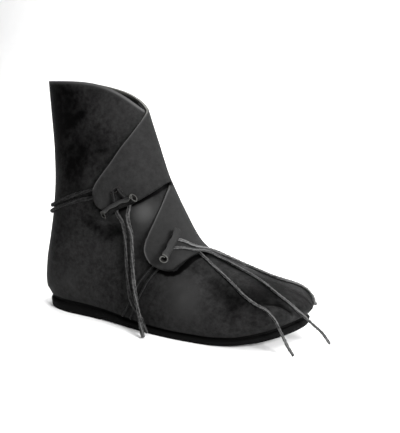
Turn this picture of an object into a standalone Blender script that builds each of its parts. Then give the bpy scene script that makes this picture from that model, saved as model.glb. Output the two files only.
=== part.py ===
"""Right boot of a low, flap-fronted ankle pair in the Norse manner, standing empty on its sole.

+X points to the toe, +Y to the inner (medial) side of the foot and +Z up. Tables are in millimetres.
The upper is one leather wall. It is worked out on two parameters: a section number t, which runs from
the toe tip (0) round the instep and heel to the collar (24), and a girth q, which is 0 on the front
line, +1 at the sole or the back seam on the outer side, and -1 at the same place on the inner side.
"""
import math

import bmesh
import bpy
import numpy as np
from mathutils import Vector

MM = 0.001
WELD = 0.02

# Driving sizes
SOLE_LENGTH = 277.0
WALL = 2.2
INSOLE_THICKNESS = 2.5
INSOLE_LENGTH = 268.5
INSOLE_WIDTH_SHARE = 0.91
SEAT_GAP = 0.35
FEATHER_INSET = 0.4
SOLE_TAPER = 0.8

# Front closure: where the front line opens, where the flaps start and where they part
THROAT = 9.2
FLAP_START = 9.9
NOTCH = 16.2
HEEL_CORNER = 16
COLLAR = 24
PLY_GAP = 1.0
LAP_BAND = 0.15
TUCK = 0.22
TUCK_RAMP = 1.6
SLIT = 0.012
TIP_LIFT = 3.4
TIP_LIFT_FROM = 0.12
TIP_LIFT_TO = 0.30

# Laces
ANKLE_LACE = 3.4
INSTEP_LACE = 2.4
ANKLE_TOGGLE = 7.0
INSTEP_TOGGLE = 8.0
POINT_SPACING = 2.5
SPAN_SAMPLES = 20

# Fineness of the meshes
TOE_ROWS = [0.0, 0.35, 1.0, 1.6, 2.3, 3.0, 4.0, 5.0, 6.0, 7.0, 8.0, 8.7]
LOWER_FLAP_ROWS = 13
UPPER_FLAP_ROWS = 14
GIRTH_ROWS = 17
SOLE_ACROSS = 7
SOLE_ROWS = [0.0, 0.005, 0.02, 0.045, 0.08, 0.13, 0.19, 0.25, 0.35, 0.40, 0.45, 0.50, 0.55,
             0.63, 0.71, 0.76, 0.81, 0.86, 0.90, 0.94, 0.965, 0.985, 0.996, 1.0]
SHARP_ANGLE = 40

# Shape of a section: share of its girth from the front line to its widest place, the most of its width
# that the feather line takes, the least turn below the widest place, and the scales of a unit bow and rise
SPLIT = 0.6
FEATHER_SHARE = 0.985
LEAST_TURN = 0.17
UNIT_BOW = 27 / 4
UNIT_RISE = 3125 / 256

# Sole seen from above: share of the length, outer and inner half width, offset of the middle line
PLAN_COLUMNS = ("u", "outer", "inner", "middle")
PLAN = [
    (0.00, 0.0, 0.0, 0.0),
    (0.02, 16.0, 16.0, 0.0),
    (0.06, 26.0, 25.5, 0.0),
    (0.15, 33.4, 31.6, 0.0),
    (0.25, 35.2, 32.0, 0.0),
    (0.40, 42.0, 29.5, 0.3),
    (0.55, 49.5, 36.0, 1.0),
    (0.65, 51.8, 42.0, 2.0),
    (0.74, 52.0, 44.0, 3.2),
    (0.82, 49.5, 42.5, 4.8),
    (0.90, 42.0, 36.5, 7.0),
    (0.95, 32.0, 28.0, 9.3),
    (0.985, 18.5, 16.5, 11.2),
    (1.00, 0.0, 0.0, 12.2),
]

# Sole seen from the side, forward of the heel breast: share of the length, underside, top
SIDE_COLUMNS = ("u", "under", "top")
SIDE = [
    (0.00, 2.2, 13.5),
    (0.25, 2.2, 12.8),
    (0.42, 0.5, 9.9),
    (0.55, 0.0, 8.3),
    (0.71, 0.0, 8.0),
    (0.80, 1.3, 8.9),
    (0.90, 5.4, 14.0),
    (1.00, 12.8, 23.0),
]
HEEL_BREAST = 0.295
BREAST_SLOPE = 0.008

# Sections of the foot, toe tip to heel corner: front point, back point, half widths, widest place
FOOT_COLUMNS = ("front_x", "front_z", "back_x", "outer", "inner", "widest")
FOOT = [
    (143.0, 28.8, 138.3, 0.0, 0.0, 0.45),
    (142.2, 31.6, 137.9, 9.0, 8.5, 0.48),
    (140.2, 34.4, 136.9, 17.5, 16.0, 0.52),
    (137.0, 37.4, 134.5, 27.0, 24.5, 0.55),
    (131.8, 40.8, 129.2, 36.5, 32.0, 0.58),
    (123.9, 44.8, 121.0, 44.0, 38.5, 0.62),
    (110.9, 49.4, 108.4, 50.5, 44.0, 0.68),
    (91.9, 54.4, 88.0, 54.0, 46.8, 0.72),
    (71.0, 60.8, 64.0, 54.8, 47.5, 0.76),
    (53.5, 67.8, 38.0, 53.0, 44.5, 0.78),
    (41.5, 73.2, 12.0, 49.5, 39.5, 0.79),
    (32.5, 81.0, -16.0, 45.5, 36.0, 0.79),
    (25.0, 91.9, -50.0, 42.0, 35.5, 0.79),
    (18.0, 104.2, -88.0, 40.0, 36.0, 0.78),
    (11.0, 116.6, -118.0, 39.0, 36.5, 0.76),
    (5.6, 126.9, -133.0, 38.5, 36.5, 0.74),
    (2.2, 133.4, -138.7, 38.2, 36.4, 0.73),
]

# Sections of the shaft, above the heel corner up to the collar. A keen section folds sharply at the
# back, a bowed one arches near its front, on the outer or the inner side, and the rise lifts it by the heel.
SHAFT_COLUMNS = ("front_x", "front_z", "back_x", "outer", "inner", "widest",
                 "back_z", "keen", "bow_outer", "bow_inner", "rise")
SHAFT = [
    (-0.6, 138.9, -140.6, 37.8, 36.0, 0.72, 24.4, 1.00, 0.0, 0.0, 0.0),
    (-3.8, 146.9, -139.6, 36.8, 35.2, 0.71, 42.4, 1.02, 0.0, 0.0, 0.0),
    (-7.6, 157.4, -135.0, 35.2, 33.6, 0.70, 68.4, 1.05, 1.0, 0.5, 0.0),
    (-11.4, 168.4, -130.6, 33.2, 31.4, 0.69, 98.4, 1.10, 3.5, 1.5, 0.0),
    (-15.0, 178.4, -128.8, 30.8, 28.8, 0.68, 128.4, 1.14, 6.0, 3.0, 0.0),
    (-18.2, 187.4, -130.0, 28.4, 26.0, 0.67, 160.4, 1.18, 8.5, 4.5, 0.0),
    (-20.8, 195.0, -133.0, 26.2, 23.4, 0.67, 192.4, 1.22, 12.0, 6.2, 0.8),
    (-22.8, 201.0, -136.4, 24.0, 21.0, 0.67, 227.0, 1.25, 14.6, 8.0, 3.0),
]

# The two flaps on the outer side: girth, and the sections of their lower and upper edges there
FLAP_COLUMNS = ("q", "low", "high")
LOWER_FLAP = [
    (0.000, 9.90, 16.20),
    (0.050, 9.94, 15.52),
    (0.105, 10.06, 14.84),
    (0.165, 10.21, 14.17),
    (0.225, 10.27, 13.55),
    (0.275, 10.31, 13.11),
    (0.310, 10.36, 12.81),
    (0.338, 10.55, 12.50),
    (0.357, 10.90, 12.13),
    (0.369, 11.45, 11.75),
]
UPPER_FLAP = [
    (0.000, 16.20, 24.00),
    (0.065, 16.17, 23.20),
    (0.150, 16.08, 22.10),
    (0.235, 16.25, 21.15),
    (0.302, 16.92, 20.52),
    (0.358, 17.35, 20.00),
    (0.405, 18.08, 19.68),
    (0.430, 18.62, 19.48),
    (0.441, 19.02, 19.32),
]

# The doubled ankle lace, as section and girth: out of a slit on the inner side, round the back, a bend
# under the upper flap's tip, and back beside itself to a second slit
ANKLE_WRAP = [
    (20.35, -0.80), (20.28, -0.90), (20.20, -0.97), (20.18, 0.97), (20.12, 0.90), (20.05, 0.81),
    (19.96, 0.72), (19.83, 0.62), (19.69, 0.555), (19.52, 0.50), (19.36, 0.455), (19.22, 0.415),
    (19.04, 0.395),
    (18.88, 0.415), (19.01, 0.455), (19.29, 0.513), (19.48, 0.57), (19.64, 0.64), (19.76, 0.73),
    (19.84, 0.82), (19.90, 0.90), (19.94, 0.97), (19.95, -0.97), (20.00, -0.90), (20.05, -0.80),
]

# The doubled instep lace: up from the feather line, a bend under the lower flap, and down again
INSTEP_WRAP = [
    (11.30, 0.93), (11.28, 0.78), (11.32, 0.63), (11.48, 0.53), (11.59, 0.46), (11.61, 0.39),
    (11.60, 0.33), (11.45, 0.30), (11.30, 0.33),
    (11.31, 0.39), (11.29, 0.45), (11.19, 0.52), (11.06, 0.63), (11.00, 0.78), (10.98, 0.93),
]

# Toggles rolled from leather, the short pulls of lace between the upper flap's slit and its toggle, and the
# free ends from the toggles outwards. A stop is "upper" or "flap" with a section, a girth and the lift of
# the piece's middle over that face, or "free" with x, y and z.
ANKLE_ROLL = [
    ("flap", 17.18, 0.370, 3.9), ("flap", 17.11, 0.342, 3.9), ("flap", 17.03, 0.307, 3.9),
    ("flap", 16.93, 0.273, 3.9), ("flap", 16.65, 0.242, 3.9),
]
ANKLE_PULL_FRONT = [
    ("flap", 18.30, 0.312, 2.2), ("flap", 17.92, 0.299, 2.2), ("flap", 17.56, 0.288, 2.2),
]
ANKLE_PULL_REAR = [
    ("flap", 18.37, 0.343, 2.2), ("flap", 17.96, 0.336, 2.2), ("flap", 17.64, 0.334, 2.2),
]
ANKLE_END_FRONT = [
    ("upper", 16.15, 0.277, 8.7), ("upper", 15.43, 0.294, 8.0), ("upper", 14.50, 0.310, 6.8),
    ("upper", 13.70, 0.327, 5.8), ("upper", 13.16, 0.357, 5.0), ("upper", 12.27, 0.424, 5.6),
    ("upper", 11.27, 0.525, 8.0), ("free", 1.0, -54.0, 19.3), ("free", 5.6, -57.2, 6.7),
    ("free", 9.9, -61.4, 2.2),
]
ANKLE_END_REAR = [
    ("upper", 16.63, 0.329, 8.5), ("upper", 15.07, 0.328, 6.0), ("upper", 14.09, 0.346, 4.2),
    ("upper", 13.40, 0.376, 3.0), ("upper", 12.53, 0.440, 3.0), ("upper", 11.79, 0.511, 4.6),
    ("upper", 11.16, 0.589, 5.2), ("free", -1.7, -50.0, 17.8), ("free", 4.1, -51.5, 9.6),
    ("free", 7.2, -50.7, 2.2),
]
INSTEP_ROLL = [
    ("flap", 12.27, 0.175, 4.4), ("flap", 11.87, 0.218, 4.4), ("flap", 11.46, 0.265, 4.4),
    ("flap", 11.09, 0.313, 4.4),
]
INSTEP_END_INNER = [
    ("flap", 11.78, 0.176, 1.6), ("flap", 11.44, 0.147, 1.6), ("flap", 10.97, 0.122, 1.6),
    ("flap", 10.54, 0.095, 1.7), ("flap", 10.10, 0.050, 1.8), ("upper", 9.49, -0.030, 3.4),
    ("upper", 8.91, -0.100, 1.8), ("upper", 8.35, -0.150, 1.6), ("upper", 7.80, -0.160, 1.6),
    ("upper", 7.14, -0.125, 1.6), ("upper", 6.55, -0.112, 1.6), ("upper", 6.07, -0.135, 1.6),
    ("upper", 5.60, -0.190, 1.6), ("upper", 5.00, -0.240, 1.6), ("upper", 4.30, -0.235, 1.6),
    ("upper", 3.67, -0.215, 1.6), ("upper", 3.00, -0.212, 1.6), ("upper", 2.39, -0.219, 1.6),
    ("upper", 1.85, -0.222, 1.6), ("upper", 1.50, -0.270, 1.6), ("upper", 1.45, -0.400, 1.6),
    ("upper", 1.85, -0.540, 1.6), ("upper", 2.60, -0.660, 1.6), ("upper", 3.50, -0.750, 1.6),
]
INSTEP_END_UPPER = [
    ("flap", 11.43, 0.222, 1.6), ("flap", 11.15, 0.188, 1.6), ("flap", 10.80, 0.158, 1.6),
    ("flap", 10.42, 0.130, 1.7), ("flap", 10.05, 0.092, 1.9), ("upper", 9.47, 0.040, 3.4),
    ("upper", 9.05, 0.019, 2.0), ("upper", 8.57, 0.006, 1.6), ("upper", 8.17, 0.009, 1.6),
    ("upper", 7.60, 0.022, 1.6), ("upper", 6.70, 0.068, 1.6), ("upper", 5.27, 0.177, 1.6),
    ("upper", 3.83, 0.272, 1.8), ("upper", 2.73, 0.396, 2.5), ("free", 150.0, -4.8, 21.7),
    ("free", 156.5, 1.0, 11.9), ("free", 162.6, 5.2, 1.5),
]
INSTEP_END_LOWER = [
    ("upper", 9.93, 0.101, 1.6), ("upper", 9.65, 0.107, 1.6), ("upper", 9.28, 0.117, 1.6),
    ("upper", 8.77, 0.135, 1.6), ("upper", 8.29, 0.155, 1.6), ("upper", 7.52, 0.211, 1.6),
    ("upper", 6.61, 0.307, 1.6), ("upper", 6.08, 0.363, 1.6), ("upper", 5.37, 0.435, 2.0),
    ("upper", 4.68, 0.590, 2.2), ("free", 132.7, -37.0, 21.3), ("free", 136.6, -39.5, 17.4),
    ("free", 141.0, -39.0, 9.1), ("free", 145.6, -37.4, 1.5),
]

COLOURS = {
    "leather": (0.022, 0.022, 0.023),
    "insole leather": (0.045, 0.040, 0.036),
    "rubber": (0.012, 0.012, 0.012),
    "lace": (0.035, 0.035, 0.036),
}


def column(table, names, name):
    """One named column of a table, as an array."""
    return np.array([row[names.index(name)] for row in table])


def through(xs, ys, x):
    """Smooth curve through the points (xs, ys) that doesn't overshoot between them, read at x."""
    step = np.diff(xs)
    slope = np.diff(ys) / step
    tangent = np.zeros(len(xs))
    tangent[0] = slope[0]
    tangent[-1] = slope[-1]
    for k in range(1, len(xs) - 1):
        if slope[k - 1] * slope[k] > 0:
            before = 2 * step[k] + step[k - 1]
            after = step[k] + 2 * step[k - 1]
            tangent[k] = (before + after) / (before / slope[k - 1] + after / slope[k])
    k = int(np.clip(np.searchsorted(xs, x) - 1, 0, len(xs) - 2))
    a = (x - xs[k]) / step[k]
    b = 1 - a
    return (b * b * (1 + 2 * a) * ys[k] + a * a * (3 - 2 * a) * ys[k + 1]
            + a * b * step[k] * (b * tangent[k] - a * tangent[k + 1]))


def ease(low, high, x):
    """0 below low, 1 above high and a smooth step between them."""
    a = min(max((x - low) / (high - low), 0.0), 1.0)
    return a * a * (3 - 2 * a)


def spaced(start, stop, count):
    """Evenly spaced numbers from start to stop, both included."""
    return [float(value) for value in np.linspace(start, stop, count)]


PLAN_U = column(PLAN, PLAN_COLUMNS, "u")
PLAN_SQUARE = {name: column(PLAN, PLAN_COLUMNS, name) ** 2 for name in ("outer", "inner")}
PLAN_MIDDLE = column(PLAN, PLAN_COLUMNS, "middle")
SIDE_U = column(SIDE, SIDE_COLUMNS, "u")


def along(x):
    """Share of the sole's length at x."""
    return min(max(x / SOLE_LENGTH + 0.5, 0.0), 1.0)


def half_width(u, side):
    """Half width of the sole; its square is smooth, so both ends come out round."""
    return math.sqrt(max(through(PLAN_U, PLAN_SQUARE[side], u), 0.0))


def middle_y(u):
    """The middle line's offset to the inner side."""
    return through(PLAN_U, PLAN_MIDDLE, u)


def sole_top(u):
    return through(SIDE_U, column(SIDE, SIDE_COLUMNS, "top"), u)


def sole_under(u):
    """Flat heel, a small step up at its breast, then the waist, the flat forefoot and the toe spring."""
    past_breast = ease(HEEL_BREAST, HEEL_BREAST + BREAST_SLOPE, u)
    return past_breast * through(SIDE_U, column(SIDE, SIDE_COLUMNS, "under"), u)


def section_columns():
    """The foot's and the shaft's sections as one set of columns; the foot rests on the sole."""
    columns = {}
    for name in FOOT_COLUMNS:
        columns[name] = np.concatenate([column(FOOT, FOOT_COLUMNS, name),
                                        column(SHAFT, SHAFT_COLUMNS, name)])
    on_sole = [sole_top(along(x)) + SEAT_GAP for x in column(FOOT, FOOT_COLUMNS, "back_x")]
    plain = {"back_z": on_sole, "keen": np.ones(len(FOOT))}
    for name in SHAFT_COLUMNS[len(FOOT_COLUMNS):]:
        foot_values = plain.get(name, np.zeros(len(FOOT)))
        columns[name] = np.concatenate([foot_values, column(SHAFT, SHAFT_COLUMNS, name)])
    for name in ("outer", "inner"):
        columns[name] = columns[name] ** 2
    return columns


SECTIONS = section_columns()
SECTION_NUMBERS = np.arange(len(FOOT) + len(SHAFT))


def section(name, t):
    return through(SECTION_NUMBERS, SECTIONS[name], t)


def surface(t, q):
    """Outer face of the bare last shape at section t and girth q."""
    side = "outer" if q >= 0 else "inner"
    girth = abs(q)
    width = math.sqrt(max(section(side, t), 0.0))
    back_x = section("back_x", t)
    widest = section("widest", t)
    feather = 0.0
    if t < HEEL_CORNER:
        feather = max(min(half_width(along(back_x), side) - FEATHER_INSET, FEATHER_SHARE * width), 0.0)
    turn = math.sqrt(1 - (feather / width) ** 2) if width > 0 else 1.0
    turn = max(turn, LEAST_TURN)
    if girth < SPLIT:
        angle = girth / SPLIT * math.pi / 2
        share = widest * (1 - math.cos(angle))
        reach = width * math.sin(angle)
    else:
        angle = (girth - SPLIT) / (1 - SPLIT) * math.asin(turn)
        share = widest + (1 - widest) * math.sin(angle) / turn
        reach = width * max(math.cos(angle), 0.0) ** section("keen", t)
    x = section("front_x", t) + (back_x - section("front_x", t)) * share
    z = section("front_z", t) + (section("back_z", t) - section("front_z", t)) * share
    z += section("bow_" + side, t) * UNIT_BOW * share * (1 - share) ** 2
    z += section("rise", t) * UNIT_RISE * share ** 4 * (1 - share)
    y = middle_y(along(x)) + (-reach if side == "outer" else reach)
    return np.array([x, y, z])


def outward(t, q, step=0.002):
    """Unit normal of the last shape, away from the foot."""
    along_t = surface(min(t + step, COLLAR), q) - surface(max(t - step, 0), q)
    along_q = surface(t, min(q + step, 1)) - surface(t, max(q - step, -1))
    normal = np.cross(along_t, along_q)
    return normal / np.linalg.norm(normal)


def on_upper(t, q, lift):
    """A point that stands off the last shape by lift."""
    place = surface(t, q)
    if lift:
        place = place + outward(t, q) * lift
    return place


def opened(t):
    """How far the front has parted into two plies: 0 below the throat, 1 from the flaps up."""
    return ease(THROAT, FLAP_START, t)


def lapped(q):
    """Share of the ply step that the upper ply takes; the lower ply takes the rest."""
    return ease(-LAP_BAND, LAP_BAND, q)


def inner_side(t, q):
    """Inner half of the upper, which climbs over the front line towards the flaps."""
    return on_upper(t, q, (WALL + PLY_GAP) * opened(t) * lapped(q))


def flap_lift(q):
    """Height of a flap's outer face: it climbs over the other ply and then over the lace under it."""
    return (WALL + PLY_GAP) * lapped(q) + TIP_LIFT * ease(TIP_LIFT_FROM, TIP_LIFT_TO, q)


def on_flap(t, q, lift):
    """A point that stands off a flap's outer face by lift."""
    return on_upper(t, q, flap_lift(q) + lift)


def front_edge(t):
    """Girth where the outer half ends: welded, then a narrow slit, then tucked under the inner half."""
    if t <= THROAT:
        return 0.0
    return SLIT - (SLIT + TUCK) * ease(FLAP_START, FLAP_START + TUCK_RAMP, t)


def outer_side(t, share):
    """Outer half of the upper, which dives under the inner half at the front."""
    edge = front_edge(t)
    q = edge + (1 - edge) * share
    return on_upper(t, q, -(WALL + PLY_GAP) * opened(t) * (1 - lapped(q)))


def flap(table):
    """A function that gives a flap's outer face for a section on the front line and a girth."""
    q_table, low, high = (column(table, FLAP_COLUMNS, name) for name in FLAP_COLUMNS)

    def place(t_front, q):
        share = (t_front - low[0]) / (high[0] - low[0])
        t_low = through(q_table, low, q)
        t = t_low + (through(q_table, high, q) - t_low) * share
        return on_flap(t, q, 0.0)

    return place


def make_collection(name):
    collection = bpy.data.collections.new(name)
    bpy.context.scene.collection.children.link(collection)
    return collection


def make_material(name, roughness):
    material = bpy.data.materials.new(name)
    material.use_nodes = True
    shader = material.node_tree.nodes["Principled BSDF"]
    shader.inputs["Base Color"].default_value = (*COLOURS[name], 1.0)
    shader.inputs["Roughness"].default_value = roughness
    shader.inputs["Metallic"].default_value = 0.0
    return material


def add_object(name, data, material, parent):
    data.materials.append(material)
    piece = bpy.data.objects.new(name, data)
    piece.parent = parent
    boot.objects.link(piece)
    return piece


def mesh_from(bm, name):
    """Weld what meets, shade smooth and hand back the mesh."""
    bmesh.ops.remove_doubles(bm, verts=bm.verts[:], dist=WELD * MM)
    bmesh.ops.dissolve_degenerate(bm, edges=bm.edges[:], dist=WELD / 2 * MM)
    mesh = bpy.data.meshes.new(name)
    bm.to_mesh(mesh)
    bm.free()
    mesh.shade_smooth()
    mesh.set_sharp_from_angle(angle=math.radians(SHARP_ANGLE))
    return mesh


def mapped_grid(bm, columns, rows, place):
    """Add a grid and put its vertex (i, j) at place(columns[i], rows[j])."""
    across = len(columns) - 1
    up = len(rows) - 1
    grid = bmesh.ops.create_grid(bm, x_segments=across, y_segments=up, size=1.0)
    for vertex in grid["verts"]:
        i = round((vertex.co.x + 1) / 2 * across)
        j = round((vertex.co.y + 1) / 2 * up)
        vertex.co = Vector(place(columns[i], rows[j])) * MM
    return grid["verts"]


def make_upper(material, parent):
    """Two halves and two flaps as one open sheet, thickened inwards to the leather's wall."""
    lower_rows = spaced(FLAP_START, HEEL_CORNER, LOWER_FLAP_ROWS) + [NOTCH]
    upper_rows = spaced(NOTCH, COLLAR, UPPER_FLAP_ROWS)
    throat_rows = [THROAT, (THROAT + FLAP_START) / 2]
    rows = TOE_ROWS + throat_rows + lower_rows + upper_rows[1:]
    girths = spaced(0.0, 1.0, GIRTH_ROWS)

    bm = bmesh.new()
    mapped_grid(bm, rows, girths, outer_side)
    mapped_grid(bm, rows, [girth - 1.0 for girth in girths], inner_side)
    for table, flap_rows in ((LOWER_FLAP, lower_rows), (UPPER_FLAP, upper_rows)):
        mapped_grid(bm, flap_rows, list(column(table, FLAP_COLUMNS, "q")), flap(table))
    upper = add_object("upper", mesh_from(bm, "upper"), material, parent)
    wall = upper.modifiers.new("wall", "SOLIDIFY")
    wall.thickness = WALL * MM
    wall.offset = -1.0
    wall.use_quality_normals = True
    return upper


def sole_slab(name, material, parent, rows, length, width_share, heights, taper):
    """A slab with the sole's outline: a top sheet, an under sheet and the wall between their rims."""
    shares = spaced(-1.0, 1.0, SOLE_ACROSS)

    def sheet(height, inset):
        def place(u, share):
            side = "inner" if share > 0 else "outer"
            reach = max(half_width(u, side) * width_share - inset, 0.0)
            x = (u - 0.5) * length
            return (x, middle_y(along(x)) + share * reach, height(along(x)))
        return place

    bm = bmesh.new()
    for height, inset in zip(heights, (0.0, taper)):
        mapped_grid(bm, rows, shares, sheet(height, inset))
    bmesh.ops.remove_doubles(bm, verts=bm.verts[:], dist=WELD * MM)
    bmesh.ops.dissolve_degenerate(bm, edges=bm.edges[:], dist=WELD / 2 * MM)
    rims = [edge for edge in bm.edges if edge.is_boundary]
    bmesh.ops.bridge_loops(bm, edges=rims)
    bmesh.ops.recalc_face_normals(bm, faces=bm.faces[:])
    return add_object(name, mesh_from(bm, name), material, parent)


def make_outsole(material, parent):
    breast = [HEEL_BREAST, HEEL_BREAST + BREAST_SLOPE]
    rows = sorted(SOLE_ROWS + breast)
    heights = (sole_top, sole_under)
    return sole_slab("outsole", material, parent, rows, SOLE_LENGTH, 1.0, heights, SOLE_TAPER)


def make_insole(material, parent):
    """Leather insole that lies on the sole, inside the wall."""
    def under(u):
        return sole_top(u) + SEAT_GAP

    def top(u):
        return under(u) + INSOLE_THICKNESS

    heights = (top, under)
    return sole_slab("insole", material, parent, SOLE_ROWS, INSOLE_LENGTH, INSOLE_WIDTH_SHARE, heights, 0.0)


def smooth_route(route, spacing):
    """Points a given distance apart on one smooth curve through the route's points."""
    stops = np.array(route, dtype=float)
    length = np.concatenate([[0.0], np.cumsum(np.linalg.norm(np.diff(stops, axis=0), axis=1))])
    tangents = np.gradient(stops, length, axis=0)
    dense = []
    for k in range(len(stops) - 1):
        span = length[k + 1] - length[k]
        for a in np.linspace(0, 1, SPAN_SAMPLES, endpoint=False):
            b = 1 - a
            dense.append(b * b * (1 + 2 * a) * stops[k] + a * a * (3 - 2 * a) * stops[k + 1]
                         + a * b * span * (b * tangents[k] - a * tangents[k + 1]))
    dense.append(stops[-1])
    dense = np.array(dense)
    run = np.concatenate([[0.0], np.cumsum(np.linalg.norm(np.diff(dense, axis=0), axis=1))])
    count = max(int(math.ceil(run[-1] / spacing)), 2) + 1
    marks = np.linspace(0, run[-1], count)
    return np.stack([np.interp(marks, run, dense[:, axis]) for axis in range(3)], axis=1)


def make_cord(name, route, diameter, material, parent):
    points = smooth_route(route, POINT_SPACING * diameter)
    curve = bpy.data.curves.new(name, "CURVE")
    curve.dimensions = "3D"
    curve.bevel_depth = diameter / 2 * MM
    curve.bevel_resolution = 2
    curve.use_fill_caps = True
    spline = curve.splines.new("POLY")
    spline.points.add(len(points) - 1)
    for point, place in zip(spline.points, points):
        point.co = (*(place * MM), 1.0)
    return add_object(name, curve, material, parent)


def stop_place(on, first, second, third):
    """Where a route's stop lies: on the upper, on a flap or free in space."""
    if on == "upper":
        return on_upper(first, second, third)
    if on == "flap":
        return on_flap(first, second, third)
    return np.array([first, second, third])


def wrap_route(stops, diameter):
    """A route that lies on the upper all the way."""
    return [on_upper(t, q, diameter / 2 + SEAT_GAP) for t, q in stops]


def free_route(stops):
    return [stop_place(*stop) for stop in stops]


def centre(root, pieces):
    """Move the root so that the middle of the pieces' box stands over the origin."""
    corners = [vertex.co for piece in pieces for vertex in piece.data.vertices]
    for axis in (0, 1):
        values = [corner[axis] for corner in corners]
        root.location[axis] = -(min(values) + max(values)) / 2


for stale in list(bpy.data.objects):
    bpy.data.objects.remove(stale, do_unlink=True)

boot = make_collection("ankle boot")
boot_root = bpy.data.objects.new("boot_root", None)
boot.objects.link(boot_root)

leather = make_material("leather", 0.6)
insole_leather = make_material("insole leather", 0.75)
rubber = make_material("rubber", 0.8)
lace_leather = make_material("lace", 0.55)

outsole = make_outsole(rubber, boot_root)
insole = make_insole(insole_leather, boot_root)
upper = make_upper(leather, boot_root)
make_cord("ankle_lace", wrap_route(ANKLE_WRAP, ANKLE_LACE), ANKLE_LACE, lace_leather, boot_root)
make_cord("instep_lace", wrap_route(INSTEP_WRAP, INSTEP_LACE), INSTEP_LACE, lace_leather, boot_root)
make_cord("ankle_toggle", free_route(ANKLE_ROLL), ANKLE_TOGGLE, lace_leather, boot_root)
make_cord("ankle_pull_front", free_route(ANKLE_PULL_FRONT), ANKLE_LACE, lace_leather, boot_root)
make_cord("ankle_pull_rear", free_route(ANKLE_PULL_REAR), ANKLE_LACE, lace_leather, boot_root)
make_cord("ankle_end_front", free_route(ANKLE_END_FRONT), ANKLE_LACE, lace_leather, boot_root)
make_cord("ankle_end_rear", free_route(ANKLE_END_REAR), ANKLE_LACE, lace_leather, boot_root)
make_cord("instep_toggle", free_route(INSTEP_ROLL), INSTEP_TOGGLE, lace_leather, boot_root)
make_cord("instep_end_inner", free_route(INSTEP_END_INNER), INSTEP_LACE, lace_leather, boot_root)
make_cord("instep_end_upper", free_route(INSTEP_END_UPPER), INSTEP_LACE, lace_leather, boot_root)
make_cord("instep_end_lower", free_route(INSTEP_END_LOWER), INSTEP_LACE, lace_leather, boot_root)

centre(boot_root, [outsole, insole, upper])
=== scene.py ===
"""Looks of a right ankle boot in the Norse manner: leather, laces, toggles, sole, floor, light and camera.

Sizes are in millimetres in the boot's own frame, as in the part's source: +X to the toe, +Y to the inner
side of the foot and +Z up. The leather is worked out on a section number t, from the toe tip (0) round
the instep and heel to the collar (24), and a girth q, which is 0 on the front line, +1 at the sole or the
back on the outer side and -1 at the same place on the inner side.
"""
import math

import bmesh
import bpy
import numpy as np
from mathutils import Matrix, Vector


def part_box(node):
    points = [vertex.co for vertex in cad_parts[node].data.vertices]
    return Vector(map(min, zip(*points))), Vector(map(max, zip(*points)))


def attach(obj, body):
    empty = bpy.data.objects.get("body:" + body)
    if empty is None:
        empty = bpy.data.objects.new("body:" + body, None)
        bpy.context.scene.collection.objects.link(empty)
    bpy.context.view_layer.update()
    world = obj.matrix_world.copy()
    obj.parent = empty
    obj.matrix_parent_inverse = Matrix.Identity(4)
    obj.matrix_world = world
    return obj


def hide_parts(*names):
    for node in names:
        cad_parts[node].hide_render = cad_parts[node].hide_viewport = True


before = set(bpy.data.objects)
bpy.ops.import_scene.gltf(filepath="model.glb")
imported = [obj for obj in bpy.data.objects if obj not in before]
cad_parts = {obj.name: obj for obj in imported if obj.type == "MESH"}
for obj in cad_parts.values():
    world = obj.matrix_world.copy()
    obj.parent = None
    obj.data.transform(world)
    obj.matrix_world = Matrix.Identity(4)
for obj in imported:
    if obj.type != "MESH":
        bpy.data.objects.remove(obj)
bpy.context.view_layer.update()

# A millimetre in metres, the distance at which vertices are joined, and the least length that is divided by
MM = 0.001
WELD = 0.02
TINY = 1e-12

# Sizes of the boot
SOLE_LENGTH = 277.0
WALL = 2.2
INSOLE_THICKNESS = 2.5
INSOLE_LENGTH = 268.5
INSOLE_WIDTH_SHARE = 0.91
SEAT_GAP = 0.35
FEATHER_INSET = 0.4

# The boot stands with the middle of its box over the origin, so its own frame is moved along X
SHIFT = np.array([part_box("outsole")[0].x / MM + SOLE_LENGTH / 2, 0.0, 0.0])

# Sections where the front line opens, where the flaps start and part, of the heel corner and of the collar
THROAT = 9.2
FLAP_START = 9.9
NOTCH = 16.2
HEEL_CORNER = 16
COLLAR = 24

# How the halves lap: gap between the plies, girth over which they step past each other, girth of the tuck and
# the sections over which it grows, girth of the slit where it starts, and the lift of a flap's tip over the
# lace with the girths between which it climbs
PLY_GAP = 1.0
LAP_BAND = 0.15
TUCK = 0.22
TUCK_RAMP = 1.6
SLIT = 0.012
TIP_LIFT = 3.4
TIP_LIFT_FROM = 0.12
TIP_LIFT_TO = 0.30

# Shape of a section: share of its girth from the front line to its widest place, the most of its width
# that the feather line takes, the least turn below the widest place, and the scales of a unit bow and rise
SPLIT = 0.6
FEATHER_SHARE = 0.985
LEAST_TURN = 0.17
UNIT_BOW = 27 / 4
UNIT_RISE = 3125 / 256

# Sole seen from above: share of the length, outer and inner half width, offset of the middle line
PLAN_COLUMNS = ("u", "outer", "inner", "middle")
PLAN = [
    (0.00, 0.0, 0.0, 0.0),
    (0.02, 16.0, 16.0, 0.0),
    (0.06, 26.0, 25.5, 0.0),
    (0.15, 33.4, 31.6, 0.0),
    (0.25, 35.2, 32.0, 0.0),
    (0.40, 42.0, 29.5, 0.3),
    (0.55, 49.5, 36.0, 1.0),
    (0.65, 51.8, 42.0, 2.0),
    (0.74, 52.0, 44.0, 3.2),
    (0.82, 49.5, 42.5, 4.8),
    (0.90, 42.0, 36.5, 7.0),
    (0.95, 32.0, 28.0, 9.3),
    (0.985, 18.5, 16.5, 11.2),
    (1.00, 0.0, 0.0, 12.2),
]

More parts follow.
